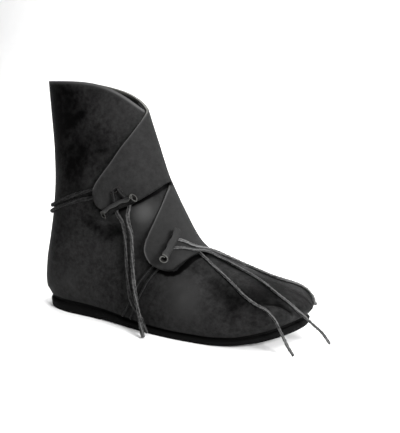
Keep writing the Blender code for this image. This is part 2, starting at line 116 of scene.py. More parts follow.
# Sole seen from the side, forward of the heel breast: share of the length, underside, top
SIDE_COLUMNS = ("u", "under", "top")
SIDE = [
    (0.00, 2.2, 13.5),
    (0.25, 2.2, 12.8),
    (0.42, 0.5, 9.9),
    (0.55, 0.0, 8.3),
    (0.71, 0.0, 8.0),
    (0.80, 1.3, 8.9),
    (0.90, 5.4, 14.0),
    (1.00, 12.8, 23.0),
]
HEEL_BREAST = 0.295
BREAST_SLOPE = 0.008

# Walls of the sole and the insole: share of the depth below the top, inset of the outline. The sole's
# outline is cut back under the leather, which leaves the black line that runs round the boot above it.
PROFILE_COLUMNS = ("depth", "inset")
SOLE_PROFILE = [
    (0.00, 3.4),
    (0.26, 3.4),
    (0.36, 0.8),
    (0.48, 0.1),
    (0.85, 0.6),
    (1.00, 1.4),
]
INSOLE_PROFILE = [
    (0.00, 0.0),
    (1.00, 0.0),
]
PROFILE_HALF_WIDTH = 44.0

# Sections of the foot, toe tip to heel corner: front point, back point, half widths, widest place
FOOT_COLUMNS = ("front_x", "front_z", "back_x", "outer", "inner", "widest")
FOOT = [
    (143.0, 28.8, 138.3, 0.0, 0.0, 0.45),
    (142.2, 31.6, 137.9, 9.0, 8.5, 0.48),
    (140.2, 34.4, 136.9, 17.5, 16.0, 0.52),
    (137.0, 37.4, 134.5, 27.0, 24.5, 0.55),
    (131.8, 40.8, 129.2, 36.5, 32.0, 0.58),
    (123.9, 44.8, 121.0, 44.0, 38.5, 0.62),
    (110.9, 49.4, 108.4, 50.5, 44.0, 0.68),
    (91.9, 54.4, 88.0, 54.0, 46.8, 0.72),
    (71.0, 60.8, 64.0, 54.8, 47.5, 0.76),
    (53.5, 67.8, 38.0, 53.0, 44.5, 0.78),
    (41.5, 73.2, 12.0, 49.5, 39.5, 0.79),
    (32.5, 81.0, -16.0, 45.5, 36.0, 0.79),
    (25.0, 91.9, -50.0, 42.0, 35.5, 0.79),
    (18.0, 104.2, -88.0, 40.0, 36.0, 0.78),
    (11.0, 116.6, -118.0, 39.0, 36.5, 0.76),
    (5.6, 126.9, -133.0, 38.5, 36.5, 0.74),
    (2.2, 133.4, -138.7, 38.2, 36.4, 0.73),
]

# Sections of the shaft, above the heel corner up to the collar. A keen section folds sharply at the
# back, a bowed one arches near its front, on the outer or the inner side, and the rise lifts it by the heel.
SHAFT_COLUMNS = ("front_x", "front_z", "back_x", "outer", "inner", "widest",
                 "back_z", "keen", "bow_outer", "bow_inner", "rise")
SHAFT = [
    (-0.6, 138.9, -140.6, 37.8, 36.0, 0.72, 24.4, 1.00, 0.0, 0.0, 0.0),
    (-3.8, 146.9, -139.6, 36.8, 35.2, 0.71, 42.4, 1.02, 0.0, 0.0, 0.0),
    (-7.6, 157.4, -135.0, 35.2, 33.6, 0.70, 68.4, 1.05, 1.0, 0.5, 0.0),
    (-11.4, 168.4, -130.6, 33.2, 31.4, 0.69, 98.4, 1.10, 3.5, 1.5, 0.0),
    (-15.0, 178.4, -128.8, 30.8, 28.8, 0.68, 128.4, 1.14, 6.0, 3.0, 0.0),
    (-18.2, 187.4, -130.0, 28.4, 26.0, 0.67, 160.4, 1.18, 8.5, 4.5, 0.0),
    (-20.8, 195.0, -133.0, 26.2, 23.4, 0.67, 192.4, 1.22, 12.0, 6.2, 0.8),
    (-22.8, 201.0, -136.4, 24.0, 21.0, 0.67, 227.0, 1.25, 14.6, 8.0, 3.0),
]

# The two flaps on the outer side: girth, and the sections of their lower and upper edges there
FLAP_COLUMNS = ("q", "low", "high")
LOWER_FLAP = [
    (0.000, 9.90, 16.20),
    (0.050, 9.94, 15.52),
    (0.105, 10.06, 14.84),
    (0.165, 10.21, 14.17),
    (0.225, 10.27, 13.55),
    (0.275, 10.31, 13.11),
    (0.310, 10.36, 12.81),
    (0.338, 10.55, 12.50),
    (0.357, 10.90, 12.13),
    (0.369, 11.45, 11.75),
]
UPPER_FLAP = [
    (0.000, 16.20, 24.00),
    (0.065, 16.17, 23.20),
    (0.150, 16.08, 22.10),
    (0.235, 16.25, 21.15),
    (0.302, 16.92, 20.52),
    (0.358, 17.35, 20.00),
    (0.405, 18.08, 19.68),
    (0.430, 18.62, 19.48),
    (0.441, 19.02, 19.32),
]

# Slits that the ankle lace goes through. The flap's lies along one row of its grid, and the two on the
# inner side lie along one column of theirs.
FLAP_SLIT_ROW = 19.58
FLAP_SLIT_GIRTHS = (0.303, 0.351)
INNER_SLIT_GIRTH = -0.80
INNER_SLIT_SECTIONS = [(19.92, 20.16), (20.22, 20.46)]
SLIT_HALF_OPEN = 1.3

# Main folds of the worn leather: height (a trough is negative), half width, and the line of sections and
# girths that it follows; a single place makes a round swell or hollow
FOLDS = [
    (-2.6, 2.2, [(6.40, 0.365), (5.86, 0.330), (5.24, 0.302), (4.78, 0.315), (4.13, 0.363), (3.36, 0.465),
                 (2.46, 0.698), (1.90, 0.900)]),
    (2.0, 6.0, [(6.40, 0.480), (5.40, 0.440), (4.60, 0.440), (3.60, 0.520), (2.60, 0.640)]),
    (-3.6, 9.0, [(9.40, 0.170), (8.90, 0.218), (8.36, 0.267), (7.90, 0.320), (7.17, 0.381), (6.20, 0.420)]),
    (2.2, 20.0, [(9.00, 0.443)]),
    (3.6, 15.0, [(14.80, 0.240)]),
    (-3.6, 15.0, [(16.50, 0.378), (15.50, 0.386), (14.49, 0.394)]),
    (-1.8, 13.0, [(13.30, 0.345)]),
    (-1.2, 20.0, [(21.40, 0.560)]),
    (1.0, 22.0, [(22.90, 0.350)]),
    (-0.4, 1.8, [(17.60, 0.500), (16.95, 0.541), (14.82, 0.539), (13.38, 0.655), (13.06, 0.789),
                 (12.95, 0.900)]),
    (-1.6, 6.0, [(9.30, -0.200), (8.50, -0.290), (7.70, -0.350), (6.90, -0.400)]),
    (-1.2, 4.5, [(13.10, -0.300), (13.60, -0.400), (14.10, -0.500), (14.30, -0.600)]),
    (-0.9, 4.0, [(15.30, -0.260), (15.70, -0.380), (15.90, -0.500)]),
    (-1.6, 20.0, [(15.40, -0.420)]),
    (1.2, 22.0, [(9.20, -0.460)]),
    (-1.0, 22.0, [(21.00, -0.520)]),
]

# Marks that darken the leather, in the same form: strength (a paler place is negative). Most are oil stains
# and rubbed places; the ones noted below are painted shade, painted shadows and painted highlights.
STAINS_AND_PAINTED_LIGHT = [
    (0.40, 42.0, [(21.60, 0.740)]),
    (1.15, 24.0, [(23.30, 0.640)]),
    (0.50, 20.0, [(22.30, 0.720)]),
    (0.60, 13.0, [(22.88, 0.551), (22.41, 0.520)]),
    (0.45, 17.0, [(21.98, 0.613), (21.46, 0.561), (21.33, 0.479)]),
    (0.50, 17.0, [(21.50, 0.451)]),
    (0.35, 12.0, [(20.70, 0.407)]),
    (0.42, 14.0, [(21.20, 0.663), (20.71, 0.564), (20.22, 0.477)]),
    (0.45, 16.0, [(20.00, 0.570)]),
    (0.50, 20.0, [(18.92, 0.639)]),
    # Painted shade in the hollow under the upper flap, near its tip and along the trough below it
    (0.70, 13.0, [(17.60, 0.440), (17.25, 0.463)]),
    (0.60, 13.0, [(16.50, 0.378), (15.50, 0.390), (14.36, 0.430)]),
    (0.45, 12.0, [(9.43, 0.236)]),
    # Painted shade along the hollow of the vamp, over its trough
    (0.65, 15.0, [(9.00, 0.235), (8.36, 0.262), (7.80, 0.310), (7.10, 0.360), (6.20, 0.380)]),
    (0.90, 20.0, [(6.10, 0.270)]),
    (0.55, 22.0, [(5.80, 0.050)]),
    (0.35, 15.0, [(3.20, 0.080)]),
    # Painted shadow in the crease of the toe's fold
    (1.00, 2.2, [(5.86, 0.330), (5.24, 0.302), (4.78, 0.315), (4.13, 0.363), (3.36, 0.465), (2.46, 0.698)]),
    # Painted shadow under the inner instep end, where it lies along the vamp's ridge
    (0.90, 1.8, [(9.00, -0.060), (8.35, -0.115), (7.80, -0.125), (7.14, -0.090), (6.55, -0.080),
                 (6.07, -0.100), (5.60, -0.150), (5.00, -0.200), (4.30, -0.195), (3.00, -0.170)]),
    (-0.25, 20.0, [(22.40, 0.330)]),
    # Painted highlight on the bulge between the flaps
    (-1.60, 16.0, [(14.70, 0.246)]),
    (-0.30, 14.0, [(13.43, 0.337)]),
    # Painted highlight on the swell at the side of the vamp
    (-1.10, 20.0, [(9.05, 0.450)]),
    (-0.30, 20.0, [(13.90, 0.690)]),
    (-0.45, 12.0, [(10.20, 0.260), (10.11, 0.289), (10.23, 0.347), (9.67, 0.377), (9.30, 0.420)]),
    (-0.50, 1.6, [(14.89, 0.541), (13.90, 0.660), (13.15, 0.778), (12.90, 0.850)]),
    # Painted highlight on the bulge below the toe's fold
    (-0.30, 12.0, [(5.40, 0.470), (4.40, 0.470)]),
]

# Share of a mark's line over which it fades at each end, and the most that the leather is darkened or paled
END_FADE = 0.3
TONE_LIMIT = 2.0

# Painted shadow under the edges of the flaps: strength, half width, how far below the lower edge and beyond
# the tip, and how many times stronger it is on the lower flap, where the upper flap's shadow falls
FLAP_SHADOW = 4.0
FLAP_SHADOW_HALF = 2.0
SHADOW_BELOW = 0.12
SHADOW_ROWS_BEYOND_TIP = 5
LOWER_FLAP_SHADOW = 2

# Darkening of the outer half towards the front line, where the inner half meets it and lies on it: strength,
# and the girths between which it sets in
PLY_DARKENING = 5.0
DARKENED_PLY_FROM = 0.06
DARKENED_PLY_TO = -0.02

# Edges: the collar's is rubbed pale; the flaps' upper edges are paler, partly rubbed and partly a painted
# highlight; their lower edges get painted shade, which is negative: strength and half width
COLLAR_RUB = 3.0
COLLAR_RUB_HALF = 2.4
COLLAR_STOPS = 61
HIGH_EDGE_WEAR_AND_LIGHT = 1.3
LOW_EDGE_SHADE = -0.6
EDGE_TONE_HALF = 1.2

# Even tones of the two flaps
LOWER_FLAP_TONE = -0.60
UPPER_FLAP_TONE = -0.35

# Laces: widths, girth, start of the side that faces out, fullness of the last rings at a cut end, how square
# they are, and how uneven, as waves with a height, a pace along the lace and a number round it
ANKLE_LACE = 3.6
INSTEP_LACE = 2.5
LACE_GIRTH = 11.0
LACE_FACE = (0.0, -1.0, 0.3)
LACE_TIP = np.array([0.0, 0.8, 1.0])
LACE_SQUARENESS = 3
LACE_WAVES = ((0.09, 1.2, 0), (0.07, 2.1, 2))

# Toggles: diameter, turns of the roll, thickness of the strip and the part of it that leaves the turns apart
TOGGLE = 9.0
TOGGLE_TURNS = 1.15
TOGGLE_STRIP = 1.3
STRIP_FIT = 0.94

# A toggle's lip wavers, and its ends are ragged, in waves with a depth, a pace across the strip and a start.
# The flare and the rags grow to the ends with this power.
LIP_WAVER = 0.12
LIP_PACE = 0.5
RAGS = ((0.6, 8.0, 0.0), (0.25, 23.0, 1.0))
END_POWER = 4

# How dark a toggle's strip is, from its inner end to its lip: dark towards the inner end, which lies under
# the lip, as painted shade, and pale at the lip, which is rubbed and partly a painted highlight
ROLL_SHARES = (0.0, 0.45, 0.70, 1.0)
ROLL_SHADE_AND_WEAR = (0.9, 0.5, -0.5, -1.2)

# Routes of the laces. Stops on the upper or on a flap have a section, a girth and the lift of the lace's
# middle over the leather, and free ones have a place in space. The two strands of the ankle lace run out of
# a slit on the inner side, round the back, under the upper flap, out of its slit and to the toggle.
ANKLE_STRAND_FRONT = [
    ("upper", [
        (20.33, -0.775, -5.0), (20.34, -0.80, -1.0), (20.33, -0.83, 1.9), (20.28, -0.90, 1.7),
        (20.20, -0.97, 1.7), (20.18, 0.97, 1.7), (20.12, 0.90, 1.7), (20.05, 0.81, 1.7), (19.96, 0.72, 1.7),
        (19.83, 0.62, 1.7), (19.69, 0.555, 1.7), (19.52, 0.50, 1.7), (19.36, 0.455, 1.7),
        (19.22, 0.415, 1.7), (19.08, 0.372, 1.7), (18.90, 0.338, 2.3), (18.66, 0.322, 3.6),
    ]),
    ("flap", [
        (18.42, 0.314, 0.4), (18.15, 0.306, 2.0), (17.85, 0.297, 2.3), (17.50, 0.287, 2.8),
        (17.15, 0.280, 3.4),
    ]),
]
ANKLE_STRAND_REAR = [
    ("upper", [
        (20.03, -0.775, -5.0), (20.04, -0.80, -1.0), (20.03, -0.83, 1.9), (20.00, -0.90, 1.7),
        (19.95, -0.97, 1.7), (19.94, 0.97, 1.7), (19.90, 0.90, 1.7), (19.84, 0.82, 1.7), (19.76, 0.73, 1.7),
        (19.64, 0.64, 1.7), (19.48, 0.57, 1.7), (19.29, 0.513, 1.7), (19.01, 0.455, 1.7),
        (18.90, 0.420, 1.7), (18.84, 0.385, 1.7), (18.76, 0.358, 2.5), (18.64, 0.345, 3.8),
    ]),
    ("flap", [
        (18.44, 0.339, 0.5), (18.20, 0.336, 2.0), (17.92, 0.334, 2.3), (17.55, 0.333, 2.8),
        (17.22, 0.331, 3.4),
    ]),
]

# The two strands of the instep lace, from under the feather line up to the lower flap and through it
INSTEP_STRAND_REAR = [
    ("upper", [
        (11.31, 0.99, 0.4), (11.30, 0.93, 1.5), (11.28, 0.78, 1.6), (11.32, 0.63, 1.6), (11.48, 0.53, 1.6),
        (11.59, 0.46, 1.6), (11.61, 0.39, 1.6), (11.60, 0.33, 1.8), (11.58, 0.28, 3.0), (11.58, 0.25, 6.0),
    ]),
]
INSTEP_STRAND_FRONT = [
    ("upper", [
        (10.98, 0.99, 0.4), (10.98, 0.93, 1.5), (11.00, 0.78, 1.6), (11.06, 0.63, 1.6), (11.19, 0.52, 1.6),
        (11.29, 0.45, 1.6), (11.31, 0.39, 1.6), (11.30, 0.33, 1.8), (11.33, 0.28, 3.0), (11.40, 0.25, 6.0),
    ]),
]

# Middle lines of the toggles, rolled from strips of leather
ANKLE_ROLL = [
    ("flap", [
        (17.23, 0.373, 8.0), (17.29, 0.366, 5.0), (17.32, 0.344, 3.9), (17.19, 0.310, 3.9),
        (16.96, 0.280, 4.2), (16.80, 0.259, 5.6), (16.79, 0.245, 8.2),
    ]),
]
INSTEP_ROLL = [
    ("flap", [
        (12.27, 0.156, 4.4), (12.00, 0.189, 4.4), (11.73, 0.228, 4.4), (11.50, 0.261, 4.6),
        (11.34, 0.286, 5.4), (11.18, 0.303, 7.4), (11.06, 0.312, 9.6),
    ]),
]

# The free ends, from the toggles outwards
ANKLE_END_FRONT = [
    ("upper", [
        (16.62, 0.270, 9.6), (16.10, 0.279, 8.6), (15.43, 0.294, 8.0), (14.50, 0.310, 6.8),
        (13.70, 0.327, 5.8), (13.16, 0.357, 5.0), (12.27, 0.424, 5.6), (11.27, 0.525, 8.0),
    ]),
    ("free", [
        (1.0, -54.0, 19.3), (5.6, -57.2, 6.7), (9.9, -61.4, 2.2),
    ]),
]
ANKLE_END_REAR = [
    ("upper", [
        (17.00, 0.330, 9.4), (16.59, 0.329, 8.4), (15.07, 0.328, 6.0), (14.09, 0.346, 4.2),
        (13.40, 0.376, 3.0), (12.53, 0.440, 3.0), (11.79, 0.511, 4.6), (11.16, 0.589, 5.2),
    ]),
    ("free", [
        (-1.7, -50.0, 17.8), (4.1, -51.5, 9.6), (7.2, -50.7, 2.2),
    ]),
]
INSTEP_END_INNER = [
    ("flap", [
        (11.96, 0.194, 2.2), (11.78, 0.176, 1.7), (11.44, 0.147, 1.6), (10.97, 0.122, 1.6),
        (10.54, 0.095, 1.7), (10.10, 0.050, 1.8),
    ]),
    ("upper", [
        (9.49, -0.030, 2.4), (8.91, -0.100, 1.2), (8.35, -0.150, 1.2), (7.80, -0.160, 1.2),
        (7.14, -0.125, 1.2), (6.55, -0.112, 1.2), (6.07, -0.135, 1.2), (5.60, -0.190, 1.2),
        (5.00, -0.240, 1.2), (4.30, -0.235, 1.2), (3.67, -0.215, 1.2), (3.00, -0.212, 1.2),
        (2.39, -0.219, 1.2), (1.85, -0.222, 1.2), (1.50, -0.270, 1.2), (1.45, -0.400, 1.2),
        (1.85, -0.540, 1.2), (2.60, -0.660, 1.2), (3.50, -0.750, 1.2),
    ]),
]
INSTEP_END_UPPER = [
    ("flap", [
        (11.60, 0.244, 2.2), (11.43, 0.222, 1.7), (11.15, 0.188, 1.6), (10.80, 0.158, 1.6),
        (10.42, 0.130, 1.7), (10.05, 0.092, 1.9),
    ]),
    ("upper", [
        (9.47, 0.040, 2.8), (9.05, 0.019, 1.4), (8.57, 0.006, 1.1), (8.17, 0.009, 1.1), (7.60, 0.022, 1.1),
        (6.70, 0.068, 1.1), (5.20, 0.190, 1.1), (4.03, 0.275, 1.2), (3.10, 0.385, 1.4), (2.32, 0.517, 1.9),
    ]),
    ("free", [
        (150.0, -4.8, 20.3), (156.5, 1.0, 11.9), (162.6, 5.2, 1.5),
    ]),
]
INSTEP_END_LOWER = [
    ("upper", [
        (10.20, 0.095, 1.5), (9.93, 0.101, 1.6), (9.65, 0.107, 1.6), (9.28, 0.117, 1.6), (8.77, 0.135, 1.1),
        (8.29, 0.155, 1.1), (7.52, 0.211, 1.1), (6.61, 0.307, 1.1), (6.08, 0.363, 1.1), (5.37, 0.435, 2.0),
        (4.68, 0.590, 2.2),
    ]),
    ("free", [
        (132.7, -37.0, 21.3), (136.6, -39.5, 17.4), (141.0, -39.0, 9.1), (145.6, -37.4, 1.5),
    ]),
]

# Fineness of the meshes
FOOT_STEP = 1.4
SHAFT_STEP = 2.4
ROW_SAMPLES = 60
ROW_GIRTHS = (0.0, 0.3, 0.6, 1.0)
OUTER_GIRTHS = 84
INNER_GIRTHS = 47
BACK_GIRTHS = 9
FLAP_GIRTHS = 36
FLAP_CROWDING = 1.35
ROUTE_SAMPLES = 40
RING_SPACING = 1.0
TOGGLE_ROWS = 48
SOLE_ROWS = 110
SOLE_ACROSS = 17
LACE_AROUND = 16
CORNER_ANGLE = 55

# Camera: azimuth round the boot, distance and height of the eye, turn to the right, tilt down, and the
# focal length in pixels of a picture this many pixels wide
CAMERA_AZIMUTH = 31.5
CAMERA_DISTANCE = 720.0
CAMERA_HEIGHT = 239.4
CAMERA_TURN = 2.4
CAMERA_TILT = 10.85
FOCAL_PIXELS = 770.0
PICTURE_WIDTH = 400
SENSOR = 36.0
CLIP_END = 100.0

# Paper: its edges and steps across and along, where it starts to rise, and the radius of its sweep
FLOOR_ACROSS = (-5000.0, 5000.0, 9)
FLOOR_ALONG = (-3000.0, 8000.0, 80)
FLOOR_FLAT = 2600.0
FLOOR_SWEEP = 1000.0

# Lamps: name, place, target, width and height, watts
WORLD_STRENGTH = 0.1
LAMPS = [
    ("overhead softbox", (0.0, 300.0, 2600.0), (0.0, 300.0, 0.0), (3200.0, 3200.0), 95.0),
    ("backdrop light", (0.0, 1400.0, 2600.0), (0.0, 3600.0, 1200.0), (3600.0, 900.0), 190.0),
    ("key softbox", (1850.0, -800.0, 950.0), (0.0, 0.0, 90.0), (700.0, 700.0), 80.0),
    ("rim softbox", (900.0, 1300.0, 1000.0), (20.0, 0.0, 90.0), (500.0, 1000.0), 8.0),
]


def column(table, names, name):
    """One named column of a table, as an array."""
    return np.array([row[names.index(name)] for row in table])


def smooth(xs, ys):
    """A function that reads a smooth curve through the points (xs, ys), with no overshoot between them."""
    xs = np.asarray(xs, dtype=float)
    ys = np.asarray(ys, dtype=float)
    step = np.diff(xs)
    slope = np.diff(ys) / step
    tangent = np.zeros(len(xs))
    tangent[0] = slope[0]
    tangent[-1] = slope[-1]
    for k in range(1, len(xs) - 1):
        if slope[k - 1] * slope[k] > 0:
            before = 2 * step[k] + step[k - 1]
            after = step[k] + 2 * step[k - 1]
            tangent[k] = (before + after) / (before / slope[k - 1] + after / slope[k])

    def read(x):
        k = np.clip(np.searchsorted(xs, x) - 1, 0, len(xs) - 2)
        a = (x - xs[k]) / step[k]
        b = 1 - a
        return (b * b * (1 + 2 * a) * ys[k] + a * a * (3 - 2 * a) * ys[k + 1]
                + a * b * step[k] * (b * tangent[k] - a * tangent[k + 1]))

    return read


def ease(low, high, x):
    """0 below low, 1 above high and a smooth step between them."""
    a = np.clip((x - low) / (high - low), 0.0, 1.0)
    return a * a * (3 - 2 * a)


PLAN_U = column(PLAN, PLAN_COLUMNS, "u")
PLAN_SQUARE = {name: smooth(PLAN_U, column(PLAN, PLAN_COLUMNS, name) ** 2) for name in ("outer", "inner")}
middle_y = smooth(PLAN_U, column(PLAN, PLAN_COLUMNS, "middle"))
SIDE_U = column(SIDE, SIDE_COLUMNS, "u")
sole_top = smooth(SIDE_U, column(SIDE, SIDE_COLUMNS, "top"))
sole_lift = smooth(SIDE_U, column(SIDE, SIDE_COLUMNS, "under"))


def along(x):
    """Share of the sole's length at x."""
    return np.clip(x / SOLE_LENGTH + 0.5, 0.0, 1.0)


def half_width(u, outer):
    """Half width of the sole; its square is smooth, so both ends come out round."""
    return np.sqrt(np.maximum(np.where(outer, PLAN_SQUARE["outer"](u), PLAN_SQUARE["inner"](u)), 0.0))


def sole_under(u):
    """Flat heel, a small step up at its breast, then the waist, the flat forefoot and the toe spring."""
    return ease(HEEL_BREAST, HEEL_BREAST + BREAST_SLOPE, u) * sole_lift(u)


def section_curves():
    """The foot's and the shaft's sections as smooth curves by name; the foot rests on the sole."""
    numbers = np.arange(len(FOOT) + len(SHAFT))
    foot = {name: column(FOOT, FOOT_COLUMNS, name) for name in FOOT_COLUMNS}
    foot["back_z"] = sole_top(along(foot["back_x"])) + SEAT_GAP
    foot["keen"] = np.ones(len(FOOT))
    foot["bow_outer"] = np.zeros(len(FOOT))
    foot["bow_inner"] = np.zeros(len(FOOT))
    foot["rise"] = np.zeros(len(FOOT))
    curves = {}
    for name in SHAFT_COLUMNS:
        values = np.concatenate([foot[name], column(SHAFT, SHAFT_COLUMNS, name)])
        curves[name] = smooth(numbers, values ** 2 if name in ("outer", "inner") else values)
    return curves


SECTION = section_curves()


def surface(t, q):
    """Outer face of the bare last shape at sections t and girths q."""
    t, q = np.broadcast_arrays(np.asarray(t, dtype=float), np.asarray(q, dtype=float))
    read = {name: curve(t) for name, curve in SECTION.items()}
    outer = q >= 0
    girth = np.abs(q)
    width = np.sqrt(np.maximum(np.where(outer, read["outer"], read["inner"]), 0.0))
    feather = np.clip(half_width(along(read["back_x"]), outer) - FEATHER_INSET, 0.0, FEATHER_SHARE * width)
    feather = np.where(t < HEEL_CORNER, feather, 0.0)
    turn = np.sqrt(1 - (feather / np.maximum(width, WELD)) ** 2)
    turn = np.maximum(turn, LEAST_TURN)
    above = girth < SPLIT
    high = np.minimum(girth / SPLIT, 1.0) * math.pi / 2
    low = np.maximum((girth - SPLIT) / (1 - SPLIT), 0.0) * np.arcsin(turn)
    widest = read["widest"]
    share = np.where(above, widest * (1 - np.cos(high)), widest + (1 - widest) * np.sin(low) / turn)
    reach = width * np.where(above, np.sin(high), np.maximum(np.cos(low), 0.0) ** read["keen"])
    bow = np.where(outer, read["bow_outer"], read["bow_inner"]) * UNIT_BOW * share * (1 - share) ** 2
    x = read["front_x"] + (read["back_x"] - read["front_x"]) * share
    rise = read["rise"] * UNIT_RISE * share ** 4 * (1 - share)
    z = read["front_z"] + (read["back_z"] - read["front_z"]) * share + bow + rise
    y = middle_y(along(x)) + np.where(outer, -reach, reach)
    return np.stack([x, y, z], axis=-1)


def unit(vectors):
    """Vectors scaled to length 1; one that has no length points to the toe."""
    length = np.linalg.norm(vectors, axis=-1, keepdims=True)
    return np.where(length > 0, vectors / np.maximum(length, TINY), (1.0, 0.0, 0.0))


def outward(t, q, step=0.002):
    """Unit normal of the last shape, away from the foot."""
    along_t = surface(np.minimum(t + step, COLLAR), q) - surface(np.maximum(t - step, 0), q)
    along_q = surface(t, np.minimum(q + step, 1)) - surface(t, np.maximum(q - step, -1))
    return unit(np.cross(along_t, along_q))


def on_upper(t, q, lift):
    """Places that stand off the last shape by lift."""
    t, q, lift = np.broadcast_arrays(*(np.asarray(value, dtype=float) for value in (t, q, lift)))
    return surface(t, q) + outward(t, q) * lift[..., None]


def opened(t):
    """How far the front has parted into two plies: 0 below the throat, 1 from the flaps up."""
    return ease(THROAT, FLAP_START, t)


def lapped(q):
    """Share of the ply step that the upper ply takes; the lower ply takes the rest."""
    return ease(-LAP_BAND, LAP_BAND, q)


def flap_lift(q):
    """Height of a flap's outer face: it climbs over the other ply and then over the lace under it."""
    return (WALL + PLY_GAP) * lapped(q) + TIP_LIFT * ease(TIP_LIFT_FROM, TIP_LIFT_TO, q)


def line_of(stops):
    """Places on the last shape for a list of sections and girths."""
    t, q = np.array(stops).T
    return surface(t, q)


def off_line(places, line):
    """Distance of each place from a line of stops, and the share of the line's stops where it is nearest."""
    best = np.full(places.shape[:-1], np.inf)
    share = np.zeros(places.shape[:-1])
    for k in range(len(line) - 1):
        span = line[k + 1] - line[k]
        a = np.clip((places - line[k]) @ span / (span @ span), 0.0, 1.0)
        gap = np.linalg.norm(places - line[k] - a[..., None] * span, axis=-1)
        share = np.where(gap < best, (k + a) / (len(line) - 1), share)
        best = np.minimum(best, gap)
    return best, share


def drawn(t, q, marks):
    """Sum of the marks at sections t and girths q; each fades off to its sides and to its ends."""
    places = surface(t, q)
    total = np.zeros(places.shape[:-1])
    for amount, half, stops in marks:
        line = line_of(stops)
        if len(line) == 1:
            total += amount * np.exp(-((places - line[0]) ** 2).sum(axis=-1) / half ** 2)
        else:
            gap, share = off_line(places, line)
            fade = ease(0.0, END_FADE, share) * ease(0.0, END_FADE, 1 - share)
            total += amount * fade * np.exp(-(gap / half) ** 2)
    return total


def flap_shadow(t, q, tables):
    """Painted shadow under the flaps: along their lower edges, round their tips and a little way up their
    upper edges.
    """
    places = surface(t, q)
    total = np.zeros(places.shape[:-1])
    for table in tables:
        low = [(low - SHADOW_BELOW, q) for q, low, _ in table]
        high = [(high, q) for q, _, high in table[:-SHADOW_ROWS_BEYOND_TIP:-1]]
        gap, share = off_line(places, line_of(low + high))
        total += FLAP_SHADOW * np.exp(-(gap / FLAP_SHADOW_HALF) ** 2) * ease(0.0, END_FADE, 1 - share)
    return total


def stain_and_shade(t, q):
    """How dark the leather is painted at sections t and girths q: oil stains, painted shade and painted
    highlights from the marks, and the painted shadows under the flaps; the collar's edge is rubbed pale.
    """
    oil_and_shade = np.minimum(drawn(t, q, STAINS_AND_PAINTED_LIGHT), 1.0)
    collar = line_of([(COLLAR, girth) for girth in np.linspace(-1.0, 1.0, COLLAR_STOPS)])
    gap, _ = off_line(surface(t, q), collar)
    wear_and_light = COLLAR_RUB * np.exp(-(gap / COLLAR_RUB_HALF) ** 2)
    return np.clip(oil_and_shade + flap_shadow(t, q, (LOWER_FLAP, UPPER_FLAP)) - wear_and_light, -TONE_LIMIT, TONE_LIMIT)


def outer_stain_and_shade(t, q):
    """The same for the outer half, which is also darkened towards the front line, where the inner half meets
    it and lies on it.
    """
    return np.minimum(stain_and_shade(t, q) + PLY_DARKENING * ease(DARKENED_PLY_FROM, DARKENED_PLY_TO, q), TONE_LIMIT)


def edge_wear_and_light(t, q, table):
    """How much paler a flap is along its upper edge, partly rubbed and partly a painted highlight, and how
    much painted shade lies along its lower one.
    """
    places = surface(t, q)
    total = np.zeros(places.shape[:-1])
    for column_name, amount in (("low", LOW_EDGE_SHADE), ("high", HIGH_EDGE_WEAR_AND_LIGHT)):
        line = line_of([(row[FLAP_COLUMNS.index(column_name)], row[0]) for row in table])
        gap, _ = off_line(places, line)
        total += amount * np.exp(-(gap / EDGE_TONE_HALF) ** 2)
    return total


def lower_flap_tone_and_shade(t, q):
    """The lower flap is of one tone, but for its edges and the upper flap's painted shadow on it."""
    wear_and_light = LOWER_FLAP_TONE - edge_wear_and_light(t, q, LOWER_FLAP)
    return np.clip(wear_and_light + LOWER_FLAP_SHADOW * flap_shadow(t, q, (UPPER_FLAP,)), -TONE_LIMIT, TONE_LIMIT)


def upper_flap_tone_and_shade(t, q):
    """The upper flap is of one tone, but for its edges: paler along the upper one, partly rubbed and partly a
    painted highlight, and with painted shade along the lower one.
    """
    return np.clip(UPPER_FLAP_TONE - edge_wear_and_light(t, q, UPPER_FLAP), -TONE_LIMIT, TONE_LIMIT)


def relief(t, q):
    """Height of the worn leather over the last shape."""
    return drawn(t, q, FOLDS)


def inner_half(t, q):
    """Section, girth and lift of the inner half, which climbs over the front line towards the flaps."""
    return t, q, (WALL + PLY_GAP) * opened(t) * lapped(q) + relief(t, q)


def outer_half(t, share):
    """Section, girth and lift of the outer half, which dives under the inner half at the front."""
    tucked = SLIT - (SLIT + TUCK) * ease(FLAP_START, FLAP_START + TUCK_RAMP, t)
    edge = np.where(t <= THROAT, 0.0, tucked)
    q = edge + (1 - edge) * share
    return t, q, relief(t, q) - (WALL + PLY_GAP) * opened(t) * (1 - lapped(q))


def flap(table):
    """A function for a flap's section, girth and lift at a section of the front line and a girth."""
    low = smooth(column(table, FLAP_COLUMNS, "q"), column(table, FLAP_COLUMNS, "low"))
    high = smooth(column(table, FLAP_COLUMNS, "q"), column(table, FLAP_COLUMNS, "high"))
    start = table[0][FLAP_COLUMNS.index("low")]
    stop = table[0][FLAP_COLUMNS.index("high")]

    def place(t_front, q):
        t = low(q) + (high(q) - low(q)) * (t_front - start) / (stop - start)
        fold = relief(t, q) * (1 - ease(0.0, LAP_BAND, q))
        return t, q, flap_lift(q) + fold

    return place


def even_rows(stops, step):
    """Sections that run through the given stops and lie at most a step apart along the leather."""
    rows = [stops[0]]
    for start, stop in zip(stops, stops[1:]):
        fine = np.linspace(start, stop, ROW_SAMPLES)
        lines = surface(fine[:, None], np.array([ROW_GIRTHS]))
        length = np.linalg.norm(np.diff(lines, axis=0), axis=-1).max(axis=1)
        run = np.concatenate([[0.0], np.cumsum(length)])
        count = max(int(math.ceil(run[-1] / step)), 1)
        rows.extend(np.interp(np.linspace(0, run[-1], count + 1)[1:-1], run, fine))
        rows.append(stop)
    return np.array(rows)


